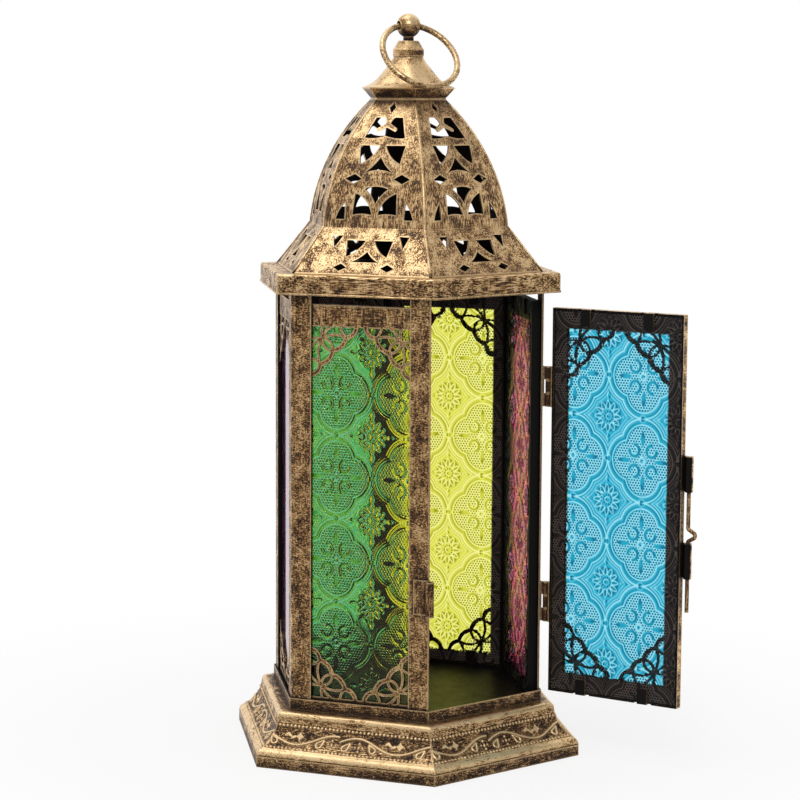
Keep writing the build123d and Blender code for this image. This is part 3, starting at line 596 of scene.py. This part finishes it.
# %% The motifs of the skirt
TEARDROPS = (  # place along the strip, height, lean
    (-30.5, 4.6, -0.6), (-12.4, 4.5, 0.7), (-2.0, 4.3, 0.7), (9.0, 4.5, -0.7), (27.5, 4.5, 0.7)
)
DROP_RADIUS, DROP_LENGTH, DROP_LINE = 1.15, 2.9, 0.36
DROP_SLANT = 0.93  # its straight sides lean, so they are nearer than a level distance says
CROSSES, STARS = (-7.4, 3.4), (-20.6, 19.4)
CROSS_DOTS = ((0, 5.1, 0.3), (-1.5, 5.1, 0), (1.5, 5.1, 0), (0, 6.7, 0.15), (0, 3.5, 0.15))
DOT_RADIUS = 0.36
STAR_HEIGHT, STAR_REACH, STAR_HOLLOW, STAR_LINE, STAR_RELIEF = 7.0, 1.3, 0.7, 0.38, 0.9
SPRIG_LEAVES = ((-2.5, -0.4, 0.5), (-3.9, 0.1, -0.7), (-5.1, 0.5, 0.6))  # across, up, slant
LEAF_LONG, LEAF_SLIM, LEAF_RADIUS = 0.42, 0.85, 0.62  # a circle drawn out along the leaf


def teardrop(u, v, middle, up, lean):
    along = (u - middle) * math.sin(lean) + (v - up) * math.cos(lean)
    aside = (u - middle) * math.cos(lean) - (v - up) * math.sin(lean)
    taper = DROP_RADIUS * np.clip(1 - along / DROP_LENGTH, 0, None)
    from_circle = np.abs(np.hypot(aside, along) - DROP_RADIUS)
    outline = np.where(along < 0, from_circle, np.abs(np.abs(aside) - taper) * DROP_SLANT)
    return half_round(outline, DROP_LINE) * (along < DROP_LENGTH)


def cross_of_dots(u, v, middle):
    dots = [
        np.hypot(u - middle - across, np.clip(np.abs(v - up) - half_length, 0, None))
        for across, up, half_length in CROSS_DOTS
    ]
    return half_round(np.minimum.reduce(dots), DOT_RADIUS)


def star_and_sprig(u, v, middle):
    star = np.abs(u - middle) ** STAR_HOLLOW + np.abs(v - STAR_HEIGHT) ** STAR_HOLLOW
    height = half_round(np.clip(star - STAR_REACH, 0, None), STAR_LINE)
    for place, lift, slant in SPRIG_LEAVES:
        across, up = u - middle - place, v - STAR_HEIGHT - lift
        leaf = np.hypot((across + slant * up) * LEAF_LONG, (up - slant * across) * LEAF_SLIM)
        height = np.maximum(height, half_round(leaf, LEAF_RADIUS))
    return STAR_RELIEF * height


def skirt_relief(u, v):
    """Height from 0 to 1 at u along the strip and v up its cove, in millimetres."""
    marks = [beads(u, v, row) for row in BEAD_LINES]
    marks += [vine(u, v, *stem) for stem in VINES]
    marks += [teardrop(u, v, *drop) for drop in TEARDROPS]
    marks += [cross_of_dots(u, v, middle) for middle in CROSSES]
    marks += [star_and_sprig(u, v, middle) for middle in STARS]
    return np.maximum.reduce(marks) * (v >= 0)


trough = skirt_relief(np.array(VINES[0][0] - VINE_WAVE / 2), np.array(VINE_MIDDLE - VINE_SWING))
print("the vine is", round(float(trough), 2), "high at its lowest point")

# %% [markdown]
# The grid is laid on the profile, its relief is pressed outwards, and a Solidify modifier gives the sheet
# its thickness on the inside. The height stays on the points, since the rubbing catches on what stands up
# and leaves the hollows of the ornament dark. The bead and the shoulder stand proud as a whole, so their
# rows count as raised although nothing is pressed into them, and they count higher still as a painted
# highlight along their curves.

# %% Press the six strips
EMBOSS_HEIGHT, SHEET = 0.38, 0.7  # millimetres
STRIP_COLUMNS = 300
FACES = {"front": -90, "front_right": -30, "rear_right": 30, "rear": 90, "rear_left": 150, "front_left": -150}
rubbed_skirt = rubbed_metal("rubbed_skirt", 0.9, 0.5, raised=True)
ORNAMENT_FOOT, ORNAMENT_TOP = 0.9, 11.6  # millimetres up the cove
# How raised a row counts where nothing is pressed; on the bead and the shoulder this is partly a painted
# highlight
HOLLOW_GROUND, PLAIN_GROUND, BEAD_GOLD_AND_HIGHLIGHT, SHOULDER_GOLD_AND_HIGHLIGHT = 0.05, 0.33, 0.58, 0.62
BEAD_SKIPS, COVE_SHARES = 2, 5  # rows of the bead that do not count, and rows of the cove that do
ground = np.where((up_cove > ORNAMENT_FOOT) & (up_cove < ORNAMENT_TOP), HOLLOW_GROUND, PLAIN_GROUND)
ground[len(TUCK) + BEAD_SKIPS:cove_start + COVE_SHARES] = BEAD_GOLD_AND_HIGHLIGHT
ground[cove_end - 1:cove_end + SHOULDER_ROWS - 1] = SHOULDER_GOLD_AND_HIGHLIGHT


def press_strip(name, face_turn):
    strip = bmesh.new()
    bmesh.ops.create_grid(strip, x_segments=STRIP_COLUMNS, y_segments=len(profile) - 1, size=1)
    mesh = finish_mesh(strip, name)
    points = points_of(mesh)
    row = np.round((points[:, 1] + 1) / 2 * (len(profile) - 1)).astype(int)
    flat, rise = profile[row].T
    u = points[:, 0] * flat * math.tan(math.radians(30))
    height = skirt_relief(u, up_cove[row])
    run = np.gradient(profile, axis=0)
    outward = np.stack((run[:, 1], -run[:, 0]), axis=1) / np.linalg.norm(run, axis=1)[:, None]
    flat = flat + outward[row, 0] * height * EMBOSS_HEIGHT
    rise = rise + outward[row, 1] * height * EMBOSS_HEIGHT
    mesh.vertices.foreach_set("co", np.stack((flat, u, rise), axis=1).ravel())
    keep_on_points(mesh, "emboss", np.maximum(height, ground[row]))
    mesh.polygons.foreach_set("use_smooth", np.ones(len(mesh.polygons), dtype=bool))
    mesh.transform(Matrix.Rotation(math.radians(face_turn), 4, "Z") @ Matrix.Scale(MM, 4))
    mesh.materials.append(rubbed_skirt)
    piece = show(name, mesh)
    wall = piece.modifiers.new("sheet", "SOLIDIFY")
    wall.thickness = SHEET * MM
    wall.offset = -1
    return piece


for face, turn in FACES.items():
    piece = press_strip(f"skirt_{face}", turn)
    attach(piece, "lantern")
    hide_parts(f"base_panel_{face}")
print("six strips of", len(piece.data.polygons), "faces")

# %% [markdown]
# ## Seams
#
# The six sheets of the dome are joined along the hips, where the seam stands up as a thin bright line, and
# the roof's apron ends in a rolled hem. Both are round beads. A ring of points is set at each stop along the
# line and the rings are bridged, which keeps the bead equally thick round every bend.

# %% Bridge rings into a bead
RING_POINTS = 10
rubbed_seams = rubbed_metal("rubbed_seams", 0.4, 0.62)


def ring_matrix(middle, across, upwards, wide, high):
    return Matrix.Translation(middle) @ turn_to(across * wide, upwards * high, across.cross(upwards))


def bridge_rings(name, places, closed):
    """A bead through the places, each given as a matrix whose X and Y span the ring."""
    seam = bmesh.new()
    rings = []
    for place in places:
        made = bmesh.ops.create_circle(seam, segments=RING_POINTS, radius=1, matrix=place)["verts"]
        rings.append(list(dict.fromkeys(edge for vertex in made for edge in vertex.link_edges)))
    pairs = list(zip(rings, rings[1:])) + ([(rings[-1], rings[0])] if closed else [])
    for first, second in pairs:
        bmesh.ops.bridge_loops(seam, edges=first + second)
    if not closed:
        bmesh.ops.holes_fill(seam, edges=rings[0] + rings[-1], sides=0)
    bmesh.ops.recalc_face_normals(seam, faces=seam.faces)
    for face in seam.faces:
        face.smooth = True
    bmesh.ops.scale(seam, vec=(MM, MM, MM), verts=seam.verts)
    piece = show(name, finish_mesh(seam, name))
    piece.data.materials.append(rubbed_seams)
    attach(piece, "lantern")
    return piece


print("a bead has", RING_POINTS, "sides")

# %% [markdown]
# The line of a hip is known for the middle of a face: a straight flare, then the long curve of the dome. A
# corner of a hexagon lies further out than the middle of its side by a fixed factor, which takes the line to
# the hip. The hem needs only the six corners.

# %% Beads along the hips and the hem
HIP = 1 / math.cos(math.radians(30))  # a corner lies this much further out than the middle of a face
FLARE_FOOT, FLARE_TOP, DOME_TOP = (47.0, 184.3), (34.9, 200.8), (13.25, 247.4)
FLARE_STOPS, DOME_STOPS, DOME_BULGE = 5, 24, 4.4
SEAM_WIDE, SEAM_HIGH, SEAM_SUNK = 0.5, 0.42, 0.15
HEM_CORNER, HEM_HEIGHT, HEM_RADIUS = 61.2, 177.05, 0.5

flare_line = np.linspace(FLARE_FOOT, FLARE_TOP, FLARE_STOPS + 1)[:-1]
hip_line = np.vstack((flare_line, arc(FLARE_TOP, DOME_TOP, DOME_BULGE, DOME_STOPS)))
hem = []
for corner in range(6):
    outward = outward_at(60 * corner)
    side = UP.cross(outward)
    hip = []
    for (flat, rise), (run, climb) in zip(hip_line, np.gradient(hip_line, axis=0)):
        ahead = (outward * run * HIP + UP * climb).normalized()
        middle = outward * (flat * HIP - SEAM_SUNK) + UP * rise
        hip.append(ring_matrix(middle, side, side.cross(ahead), SEAM_WIDE, SEAM_HIGH))
    bridge_rings(f"hip_seam_{corner}", hip, False)
    middle = outward * HEM_CORNER + UP * HEM_HEIGHT
    hem.append(ring_matrix(middle, outward, UP, HEM_RADIUS * HIP, HEM_RADIUS))
bridge_rings("roof_hem", hem, True)
print("six hip seams of", len(hip), "rings, and a hem")

# %% [markdown]
# ## Pressed glass
#
# Each pane is rolled pattern glass: flat outside, and pressed inside with rows of quatrefoils, with a daisy
# in every diamond between them. The relief bends what is seen through it, so it has to be real shape and not
# a picture. A fine grid is the plain way to it: every point of the grid is pressed in by a depth that is
# worked out from how far it lies from the lines of the pattern. Besides its height each line has a tone,
# about from -1 to 1, which is painted light and shade in the glass's colour: a painted highlight along a
# crest and painted shade in a crease, where the bent light would show them.

# %% The quatrefoil
REPEAT = 30.0  # the pattern is drawn in squares of this size and then stretched to its real pitch
ACROSS_PITCH, UP_PITCH = 28.6, 31.3  # millimetres
LOBE_SHIFT, LOBE_RADIUS = 5.8, 9.15
FIELD_EDGE = (2.35, 2.7)  # how far inside the lobes the stippled field begins, and is full
BAND_START, BAND_END = (0.2, 0.6), (1.5, 1.9)  # the same for the band along the lobes
# a painted highlight over the stippled field inside the lobes, and painted shade along the band
FIELD_TONE, BAND_TONE = 0.3, -0.35
# Height or tone of a line, how far out it runs, and half its width, as in the other tables of the glass. A
# tone above 0 is a painted highlight, and one below 0 is painted shade
OUTLINE_RIDGES = ((0.62, -1.05, 0.85), (0.5, 0.1, 0.3), (0.55, -2.2, 0.28), (0.3, 1.0, 0.25))
OUTLINE_HIGHLIGHTS = ((1.0, 0.05, 0.42), (1.0, -2.1, 0.4), (0.6, 1.0, 0.34))
OUTLINE_SHADES = (
    (-0.6, 0.55, 0.28), (-0.85, -2.6, 0.34), (0.4, 2.1, 0.4), (-0.35, 1.5, 0.3), (-0.35, 2.7, 0.3)
)


def folded(distance, pitch):
    """Distance from the middle of the nearest repeat, on the drawing."""
    drawn = distance * REPEAT / pitch
    return np.abs(drawn - REPEAT * np.round(drawn / REPEAT))


def tones(distance, lines):
    """Thin lines of painted light and shade added up: for each how light or dark it is painted, the distance
    at which it runs, and half its width.
    """
    return sum(light_and_shade * thin_line(distance - at, half) for light_and_shade, at, half in lines)


def quatrefoil(x, y):
    """How far a point lies outside the four lobes, the stippled field inside them, and the height of their
    outlines and the painted light and shade along them."""
    edge = np.minimum(np.hypot(x - LOBE_SHIFT, y), np.hypot(x, y - LOBE_SHIFT)) - LOBE_RADIUS
    field = soft_step(-edge, *FIELD_EDGE)
    band = soft_step(-edge, *BAND_START) * (1 - soft_step(-edge, *BAND_END))
    height = np.maximum.reduce([peak * half_round(edge - at, half) for peak, at, half in OUTLINE_RIDGES])
    light_and_shade = np.maximum.reduce([peak * thin_line(edge - at, half) for peak, at, half in OUTLINE_HIGHLIGHTS])
    light_and_shade = light_and_shade + FIELD_TONE * field + BAND_TONE * band + tones(edge, OUTLINE_SHADES)
    return edge, field, height, light_and_shade


print("a quatrefoil is", 2 * (LOBE_SHIFT + LOBE_RADIUS), "of", REPEAT, "wide on the drawing")

# %% [markdown]
# Inside the lobes lie spear leaves on the axes, scrolls on the diagonals and a ring in the middle. The
# drawing is folded onto a quarter of itself, so each is drawn once.

# %% Leaves, scrolls and ring
# Painted light and shade in the filling: a light rim and a shade that deepens towards the tip on each spear,
# and light and dark lines round each scroll and the ring
SPEAR_MIDDLE, SPEAR_HALF, SPEAR_WIDTH, SPEAR_GROOVE = 7.9, 3.1, 1.05, 0.55
SPEAR_LEAST, SPEAR_RIM, SPEAR_SHADE = 0.02, ((0.55, 0, 0.3),), 0.6
SPEAR_BLUR, SPEAR_DARKENS = (-0.05, 0.15), (7.5, 10.5)  # across its rim, and towards its tip
PEARL_SHIFT, PEARL_RADIUS, PEARL_HEIGHT = 1.9, 0.5, 0.8
SCROLL_SHIFT, SCROLL_RADIUS, SCROLL_LINE = 3.7, 2.05, 0.75
SCROLL_OPENS = (0.72, 0.9)  # cosines of the angles from the diagonal where a scroll stands open
SCROLL_TONES = ((0.5, 1.2, 0.35), (-0.95, 2.1, 0.75))
RING_RADIUS, RING_LINE, RING_TONES = 1.05, 0.55, ((0.6, 1.3, 0.4), (-0.8, 0, 0.7))
THINNEST = 1e-6  # keeps a width from reaching nothing, since distances are divided by it


def leaf_width(end, middle, half_length, widest):
    return widest * np.clip(1 - ((end - middle) / half_length) ** 2, THINNEST, None)


def filling(x, y):
    """The height of the ornament inside the lobes, and its painted light and shade."""
    height, light_and_shade = np.zeros_like(x), np.zeros_like(x)
    for side, end in ((x, y), (y, x)):
        width = leaf_width(end, SPEAR_MIDDLE, SPEAR_HALF, SPEAR_WIDTH)
        grooved = SPEAR_GROOVE + (1 - SPEAR_GROOVE) * np.clip(side / width, 0, 1)
        pearl = PEARL_HEIGHT * half_round(np.hypot(side - PEARL_SHIFT, end), PEARL_RADIUS)
        height = np.maximum.reduce((height, half_round(side, width) * grooved, pearl))
        on_leaf = width > SPEAR_LEAST
        shade = SPEAR_SHADE * (1 + soft_step(end, *SPEAR_DARKENS)) * soft_step(width - side, *SPEAR_BLUR)
        light_and_shade = light_and_shade + on_leaf * (tones(side - width, SPEAR_RIM) - shade)

    from_scroll = np.hypot(x - SCROLL_SHIFT, y - SCROLL_SHIFT)
    opening = (x + y - 2 * SCROLL_SHIFT) / (math.sqrt(2) * np.clip(from_scroll, THINNEST, None))
    curl = 1 - soft_step(opening, *SCROLL_OPENS)
    height = np.maximum(height, half_round(from_scroll - SCROLL_RADIUS, SCROLL_LINE) * curl)

    reach = np.hypot(x, y)
    height = np.maximum(height, half_round(reach - RING_RADIUS, RING_LINE))
    return height, light_and_shade + curl * tones(from_scroll, SCROLL_TONES) + tones(reach, RING_TONES)


print("spear leaves reach from", SPEAR_MIDDLE - SPEAR_HALF, "to", SPEAR_MIDDLE + SPEAR_HALF)

# %% [markdown]
# The daisy has twelve outlined petals round a ring of ten seeds, with a small leaf towards each knot, where
# two quatrefoils touch. Angles that repeat turn one petal into twelve.

# %% Daisy and knots
PETAL_TURN, SEED_TURN = math.pi / 6, math.pi / 5
PETAL_START, PETAL_LENGTH, PETAL_WIDTH, PETAL_LINE, PETAL_HEIGHT = 2.5, 3.3, 0.78, 0.28, 0.6
PETAL_LEAN, PETAL_BLUNT = 0.8, 0.8  # below 1 they move its widest place inwards and blunt its ends
# Painted light and shade in the flower: a highlight on each petal's rim, shade along its vein, in the gaps,
# on the seeds and in the eye, and a light ring round the eye; knots get a light and a dark ring
PETAL_RIM, PETAL_VEIN, VEIN_WIDTH = ((1.0, 0, 0.36),), ((-0.9, 0, 0.5),), 0.5
GAP_EDGE, GAP_START, GAP_END = (0.1, 0.4), (0.0, 0.25), (0.8, 1.0)  # where the gaps darken
SEED_REACH, SEED_RADIUS, SEED_HEIGHT, SEED_TONES = 1.75, 0.42, 0.55, ((-1.3, 0, 0.6),)
EYE_REACH, EYE_LINE, EYE_HEIGHT, EYE_TONES = 0.6, 0.42, 0.7, ((-1.3, 0, 0.75), (0.8, 1.0, 0.4))
BUD_MIDDLE, BUD_HALF, BUD_WIDTH, BUD_HEIGHT = 7.6, 1.5, 0.7, 0.55
DAISY_TONE = 0.8
KNOT_RADIUS, KNOT_LINE, KNOT_HEIGHT, KNOT_TONES = 0.75, 0.45, 0.75, ((0.7, 1.3, 0.5), (-1.3, 0, 1.1))


def aside_of(reach, angle, turn):
    """Distance from the nearest of the lines that leave the middle at every such turn."""
    return reach * np.sin(angle - turn * np.round(angle / turn))


def daisy(x, y):
    """The height of the flower in a diamond, and its painted light and shade."""
    reach, angle = np.hypot(x, y), np.arctan2(y, x)
    aside = np.abs(aside_of(reach, angle, PETAL_TURN))
    length = np.clip((reach - PETAL_START) / PETAL_LENGTH, 0, 1)
    on_petals = (length > 0) & (length < 1)
    width = PETAL_WIDTH * np.sin(math.pi * length ** PETAL_LEAN) ** PETAL_BLUNT
    seeds = np.hypot(reach - SEED_REACH, aside_of(reach, angle, SEED_TURN))
    height = PETAL_HEIGHT * half_round(aside - width, PETAL_LINE) * on_petals
    height = np.maximum(height, SEED_HEIGHT * half_round(seeds, SEED_RADIUS))
    height = np.maximum(height, EYE_HEIGHT * half_round(reach - EYE_REACH, EYE_LINE))
    for side, end in ((x, y), (y, x)):
        bud = half_round(side, leaf_width(end, BUD_MIDDLE, BUD_HALF, BUD_WIDTH))
        height = np.maximum(height, BUD_HEIGHT * bud)

    petals = tones(aside - width, PETAL_RIM) + tones(aside, PETAL_VEIN) * (width > VEIN_WIDTH)
    gaps = soft_step(aside - width, *GAP_EDGE) * soft_step(length, *GAP_START)
    gaps = gaps * (1 - soft_step(length, *GAP_END))
    light_and_shade = petals * on_petals - gaps + tones(seeds, SEED_TONES) + tones(reach, EYE_TONES)
    return height, DAISY_TONE * light_and_shade


def knots(x, y):
    knot = np.minimum(np.hypot(x - REPEAT / 2, y), np.hypot(x, y - REPEAT / 2))
    return KNOT_HEIGHT * half_round(knot - KNOT_RADIUS, KNOT_LINE), tones(knot, KNOT_TONES)


print(round(2 * math.pi / PETAL_TURN), "petals and", round(2 * math.pi / SEED_TURN), "seeds")

# %% [markdown]
# The parts are laid over each other: the highest ridge wins at each point, and their painted light and shade
# adds up. What is left bare inside the lobes is stippled.

# %% The whole pattern
GROUND_HEIGHT, FILLING_HEIGHT = 0.22, 0.75
DIAMOND_EDGE = 0.5  # how far outside the lobes a diamond begins
STIPPLE_ENDS = (0.02, 0.2)  # the height of ornament at which the stipple fades, and is gone


def glass_relief(across, up):
    """At points in millimetres: the relief's height, up to about 1, its painted light and shade, and how
    stippled it is.
    """
    x, y = folded(across, ACROSS_PITCH), folded(up, UP_PITCH)
    edge, field, height, light_and_shade = quatrefoil(x, y)
    inside, inside_light_and_shade = filling(x, y)
    flower, flower_light_and_shade = daisy(REPEAT / 2 - x, REPEAT / 2 - y)
    knot, knot_light_and_shade = knots(x, y)
    in_diamond = edge > DIAMOND_EDGE
    heights = (height, FILLING_HEIGHT * inside * field, GROUND_HEIGHT + flower * in_diamond, knot)
    light_and_shade = light_and_shade + inside_light_and_shade + flower_light_and_shade * in_diamond + knot_light_and_shade
    stipple = field * (1 - soft_step(inside, *STIPPLE_ENDS))
    return np.maximum.reduce(heights), light_and_shade, stipple


sample = glass_relief(*np.mgrid[0:ACROSS_PITCH:0.2, 0:UP_PITCH:0.2])[0]
print("relief runs from", round(float(sample.min()), 2), "to", round(float(sample.max()), 2))

# %% [markdown]
# A pane starts as a level grid. Its border is pulled over to the flat outer face, and the opening is filled,
# which leaves a closed slab. Only the grid's side gets points for the relief, since the outer face is flat.

# %% A blank pane
GRID_PITCH = 0.3  # millimetres


def blank_pane(name, width, foot, top, thickness):
    """A slab with a fine grid on one side. Also tells how many points and faces are on that side."""
    pane = bmesh.new()
    columns, rows = round(width / GRID_PITCH), round((top - foot) / GRID_PITCH)
    bmesh.ops.create_grid(pane, x_segments=columns, y_segments=rows, size=0.5)
    bmesh.ops.scale(pane, vec=(width, top - foot, 1), verts=pane.verts)
    bmesh.ops.translate(pane, vec=(0, (foot + top) / 2, 0), verts=pane.verts)
    grid_points, grid_faces = len(pane.verts), len(pane.faces)
    border = [edge for edge in pane.edges if edge.is_boundary]
    pulled = bmesh.ops.extrude_edge_only(pane, edges=border)["geom"]
    rim = [part for part in pulled if isinstance(part, bmesh.types.BMVert)]
    bmesh.ops.translate(pane, vec=(0, 0, thickness), verts=rim)
    bmesh.ops.holes_fill(pane, edges=[edge for edge in pane.edges if edge.is_boundary], sides=0)
    bmesh.ops.recalc_face_normals(pane, faces=pane.faces)
    return finish_mesh(pane, name), grid_points, grid_faces


print("a pane has a point every", GRID_PITCH, "mm")

# %% [markdown]
# A pane's size is read from the solid that it replaces, along the directions of its face, because the door's
# pane stands askew. The grid's points sink into the glass, and the finished pane is stood up in its frame.
# Four numbers stay on the points for the material: painted light and shade, which makes the glass paler or
# deeper, the stipple, where a rail or a stile lies behind the pane, so that its black paint shows through,
# and which points are on the outer face. The lines' painted light and shade and the slope together give the
# first, which paints a highlight on a slope that faces one way and shade on the other, as bent light would.

# %% Roll a pane
RELIEF_DEPTH = 0.75  # millimetres
CREST = 0.85  # what is higher than this lies flush with the inner face
SLOPE_REACH = 0.25  # distance over which a slope is measured, in millimetres
# painted shading of flat glass, and what the lines and the slope add to it
PLAIN_SHADING, LINE_SHADING, SLOPE_SHADING = 0.5, 0.62, 0.75  # of flat glass, and what tone and slope add to it
PAINT_BLUR = 0.15  # millimetres


def roll_pane(name, node, face_turn, across_phase, up_phase, covered):
    """A pane in place of a solid. `covered` is how far a stile, the foot rail and the head rail reach over
    its border, in millimetres."""
    out = outward_at(face_turn)
    side = UP.cross(out)
    corners = [vertex.co for vertex in nodes[node].data.vertices]
    (low_side, high_side), (foot, top), (inner, outer) = (
        [choose(corner.dot(direction) for corner in corners) / MM for choose in (min, max)]
        for direction in (side, UP, out)
    )
    width, middle = high_side - low_side, (low_side + high_side) / 2
    mesh, grid_points, grid_faces = blank_pane(name, width, foot, top, outer - inner)

    points = points_of(mesh)
    across, up = points[:, 0] - across_phase, points[:, 1] - up_phase
    height, light_and_shade, stipple = glass_relief(across, up)
    slope = glass_relief(across + SLOPE_REACH, up)[0] - glass_relief(across - SLOPE_REACH, up)[0]
    bend = np.clip(PLAIN_SHADING + LINE_SHADING * light_and_shade - SLOPE_SHADING * slope, 0, 1)
    stile, foot_rail, head_rail = covered
    over_stile = np.abs(points[:, 0]) - width / 2 + stile
    over_rail = np.maximum(foot + foot_rail - points[:, 1], points[:, 1] - top + head_rail)
    backed = soft_step(np.maximum(over_stile, over_rail), -PAINT_BLUR, PAINT_BLUR)
    sunk = np.arange(len(points)) < grid_points
    points[sunk, 2] += (CREST - height[sunk]).clip(0, 1) * RELIEF_DEPTH
    mesh.vertices.foreach_set("co", points.ravel())

    bend[~sunk], stipple[~sunk], backed[~sunk] = PLAIN_SHADING, 0, 0
    for attribute, values in {"bend": bend, "stipple": stipple, "backed": backed, "outer": ~sunk}.items():
        keep_on_points(mesh, attribute, values)
    corners_of = np.empty(len(mesh.loops), dtype=np.int32)
    mesh.loops.foreach_get("vertex_index", corners_of)
    mesh.uv_layers.new(name="rolled").data.foreach_set("uv", (points[:, :2] * MM)[corners_of].ravel())
    mesh.polygons.foreach_set("use_smooth", np.arange(len(mesh.polygons)) < grid_faces)

    place = Matrix.Translation((side * middle + out * inner) * MM) @ turn_to(side, UP, out)
    mesh.transform(place @ Matrix.Scale(MM, 4))
    mesh.update()
    return show(name, mesh)


print("the relief is", RELIEF_DEPTH * (CREST - GROUND_HEIGHT), "mm deep at the ground")

# %% [markdown]
# Opposite faces share a colour. Seen through the yellow-green pane in front, the blue pane at the back turns
# green, so no green glass is needed. Real glass does this by itself when its colour filters what passes, so
# the material is clear, smooth and tinted. On the relief the tint carries painted light and shade: a painted
# highlight on the sharp crests and painted shade in the creases and the stipple.

# %% The material of the glass
DOT_PITCH = 1.12  # millimetres, as the next four
DOT_FULL, DOT_END, HALO_START, HALO_FULL = 0.24, 0.44, 0.4, 0.52
# painted shade in each stipple dot, and a painted highlight in the ring round it
DOT_SHADE, HALO_HIGHLIGHT = 0.95, 0.32
# the painted shading at which the deep shade and the pale highlight colours are full
DEEPEST, PALEST = 0.05, 0.95  # the bends at which the deep and the pale colour are full
STIPPLE_DEPTH = 0.15
# the black paint of a rail or stile behind the pane, and the painted highlight on the crests over it
PAINT, PAINT_HIGHLIGHT = colour(31, 27, 26), colour(84, 75, 71)


def dots_and_halo(root):
    """Rows of dots over the pane, each row half a pitch off the next, and the light rings between them."""
    rolled = root.node("ShaderNodeUVMap", settings={"uv_map": "rolled"})
    across = root.node("ShaderNodeSeparateXYZ", "X", inputs={0: rolled})
    half, rise = DOT_PITCH / 2 * MM, DOT_PITCH / 2 * math.sqrt(3) * MM
    x, y = root.math("PINGPONG", across, half), root.math("PINGPONG", across.other("Y"), rise)
    near = root.math("SQRT", x * x + y * y)
    between = root.math("SQRT", (half - x) * (half - x) + (rise - y) * (rise - y))
    from_dot = near.least(between)
    dots = from_dot.step(DOT_FULL * MM, DOT_END * MM, 1.0, 0.0)
    return dots, from_dot.step(HALO_START * MM, HALO_FULL * MM)


def pressed_glass(name, deep_shade, tint, pale_highlight, outside, gloss=0.3):
    """Glass with painted shade in deep_shade and painted highlights in pale_highlight on its relief, over
    tint, and whose flat face has the colour outside.
    """
    material = bpy.data.materials.new(name)
    root = blank_tree(material)
    bend, stippled, backed, outer = (
        root.node("ShaderNodeAttribute", "Fac", {"attribute_name": kept})
        for kept in ("bend", "stipple", "backed", "outer")
    )
    dots, halo = (mark * stippled for mark in dots_and_halo(root))
    # painted light and shade of the relief, with the painted shade of the dots and the painted highlight of
    # the rings
    shade = bend - dots * DOT_SHADE + halo * HALO_HIGHLIGHT
    dark_side = shade.step(DEEPEST, PLAIN_SHADING).blend(deep_shade, tint)
    relief = shade.step(PLAIN_SHADING, PALEST).blend(dark_side, pale_highlight)
    coat = shade.step(PLAIN_SHADING, 1.0).blend(shade.step(0.0, PLAIN_SHADING).blend(BLACK, PAINT), PAINT_HIGHLIGHT)
    bump = root.node(
        "ShaderNodeBump", inputs={"Strength": 0.4, "Distance": STIPPLE_DEPTH * MM, "Height": halo - dots}
    )
    glass = root.node(
        "ShaderNodeBsdfPrincipled",
        inputs={
            "Base Color": outer.blend(relief, outside),
            "Roughness": 0.04,
            "IOR": 1.5,
            "Specular IOR Level": gloss,
            "Transmission Weight": 1.0,
            "Normal": bump,
        },
    )
    painted = root.node(
        "ShaderNodeBsdfPrincipled",
        inputs={
            "Base Color": coat,
            "Roughness": 0.35 + (1 - shade) * 0.2,
            "Specular IOR Level": 0.3,
            "Normal": bump,
        },
    )
    shown = root.node("ShaderNodeMixShader", inputs={0: backed, 1: glass, 2: painted})
    root.node("ShaderNodeOutputMaterial", inputs={"Surface": shown})
    return material


glasses = {
    "glass_cyan": pressed_glass(
        "cyan_glass", colour(0, 62, 96), colour(3, 158, 194), colour(255, 255, 255), colour(96, 214, 242)
    ),
    "glass_lime": pressed_glass(
        "lime_glass", colour(112, 114, 0), colour(220, 221, 58), colour(255, 255, 206), colour(247, 249, 126)
    ),
    "glass_magenta": pressed_glass(
        "magenta_glass", colour(140, 4, 48), colour(240, 48, 100), colour(255, 196, 220),
        colour(255, 124, 174), gloss=0.06,
    ),
}
print(len(glasses), "colours of glass")

# %% [markdown]
# Panes are cut from large sheets with no regard to the pattern, so it starts elsewhere in each. The door's
# frame reaches further over its pane than the fixed frames do.

# %% The six panes
DOOR_COVER, PANEL_COVER = (5.1, 6.6, 6.6), (3.9, 4.1, 7.1)  # stile, foot rail and head rail, in millimetres
PANES = {  # glass, direction in degrees, and where the pattern has a middle, in millimetres
    "door_pane": ("glass_cyan", DOOR_TURN, -11.0, 147.3),
    "pane_rear": ("glass_cyan", 90, 3.0, 147.0),
    "pane_front_left": ("glass_lime", -150, -10.5, 140.2),
    "pane_rear_right": ("glass_lime", 30, -15.7, 145.1),
    "pane_front_right": ("glass_magenta", -30, -4.0, 143.0),
    "pane_rear_left": ("glass_magenta", 150, 6.0, 150.0),
}
for node, (slot, turn, across_phase, up_phase) in PANES.items():
    covered = DOOR_COVER if node == "door_pane" else PANEL_COVER
    piece = roll_pane(f"{node}_relief", node, turn, across_phase, up_phase, covered)
    piece.data.materials.append(glasses[slot])
    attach(piece, "door" if node == "door_pane" else "lantern")
    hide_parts(node)
    print(piece.name, len(piece.data.polygons), "faces")

# %% [markdown]
# ## View transform
#
# Colours are shown through the Standard view transform.

# %% Finish
bpy.context.scene.view_settings.view_transform = "Standard"
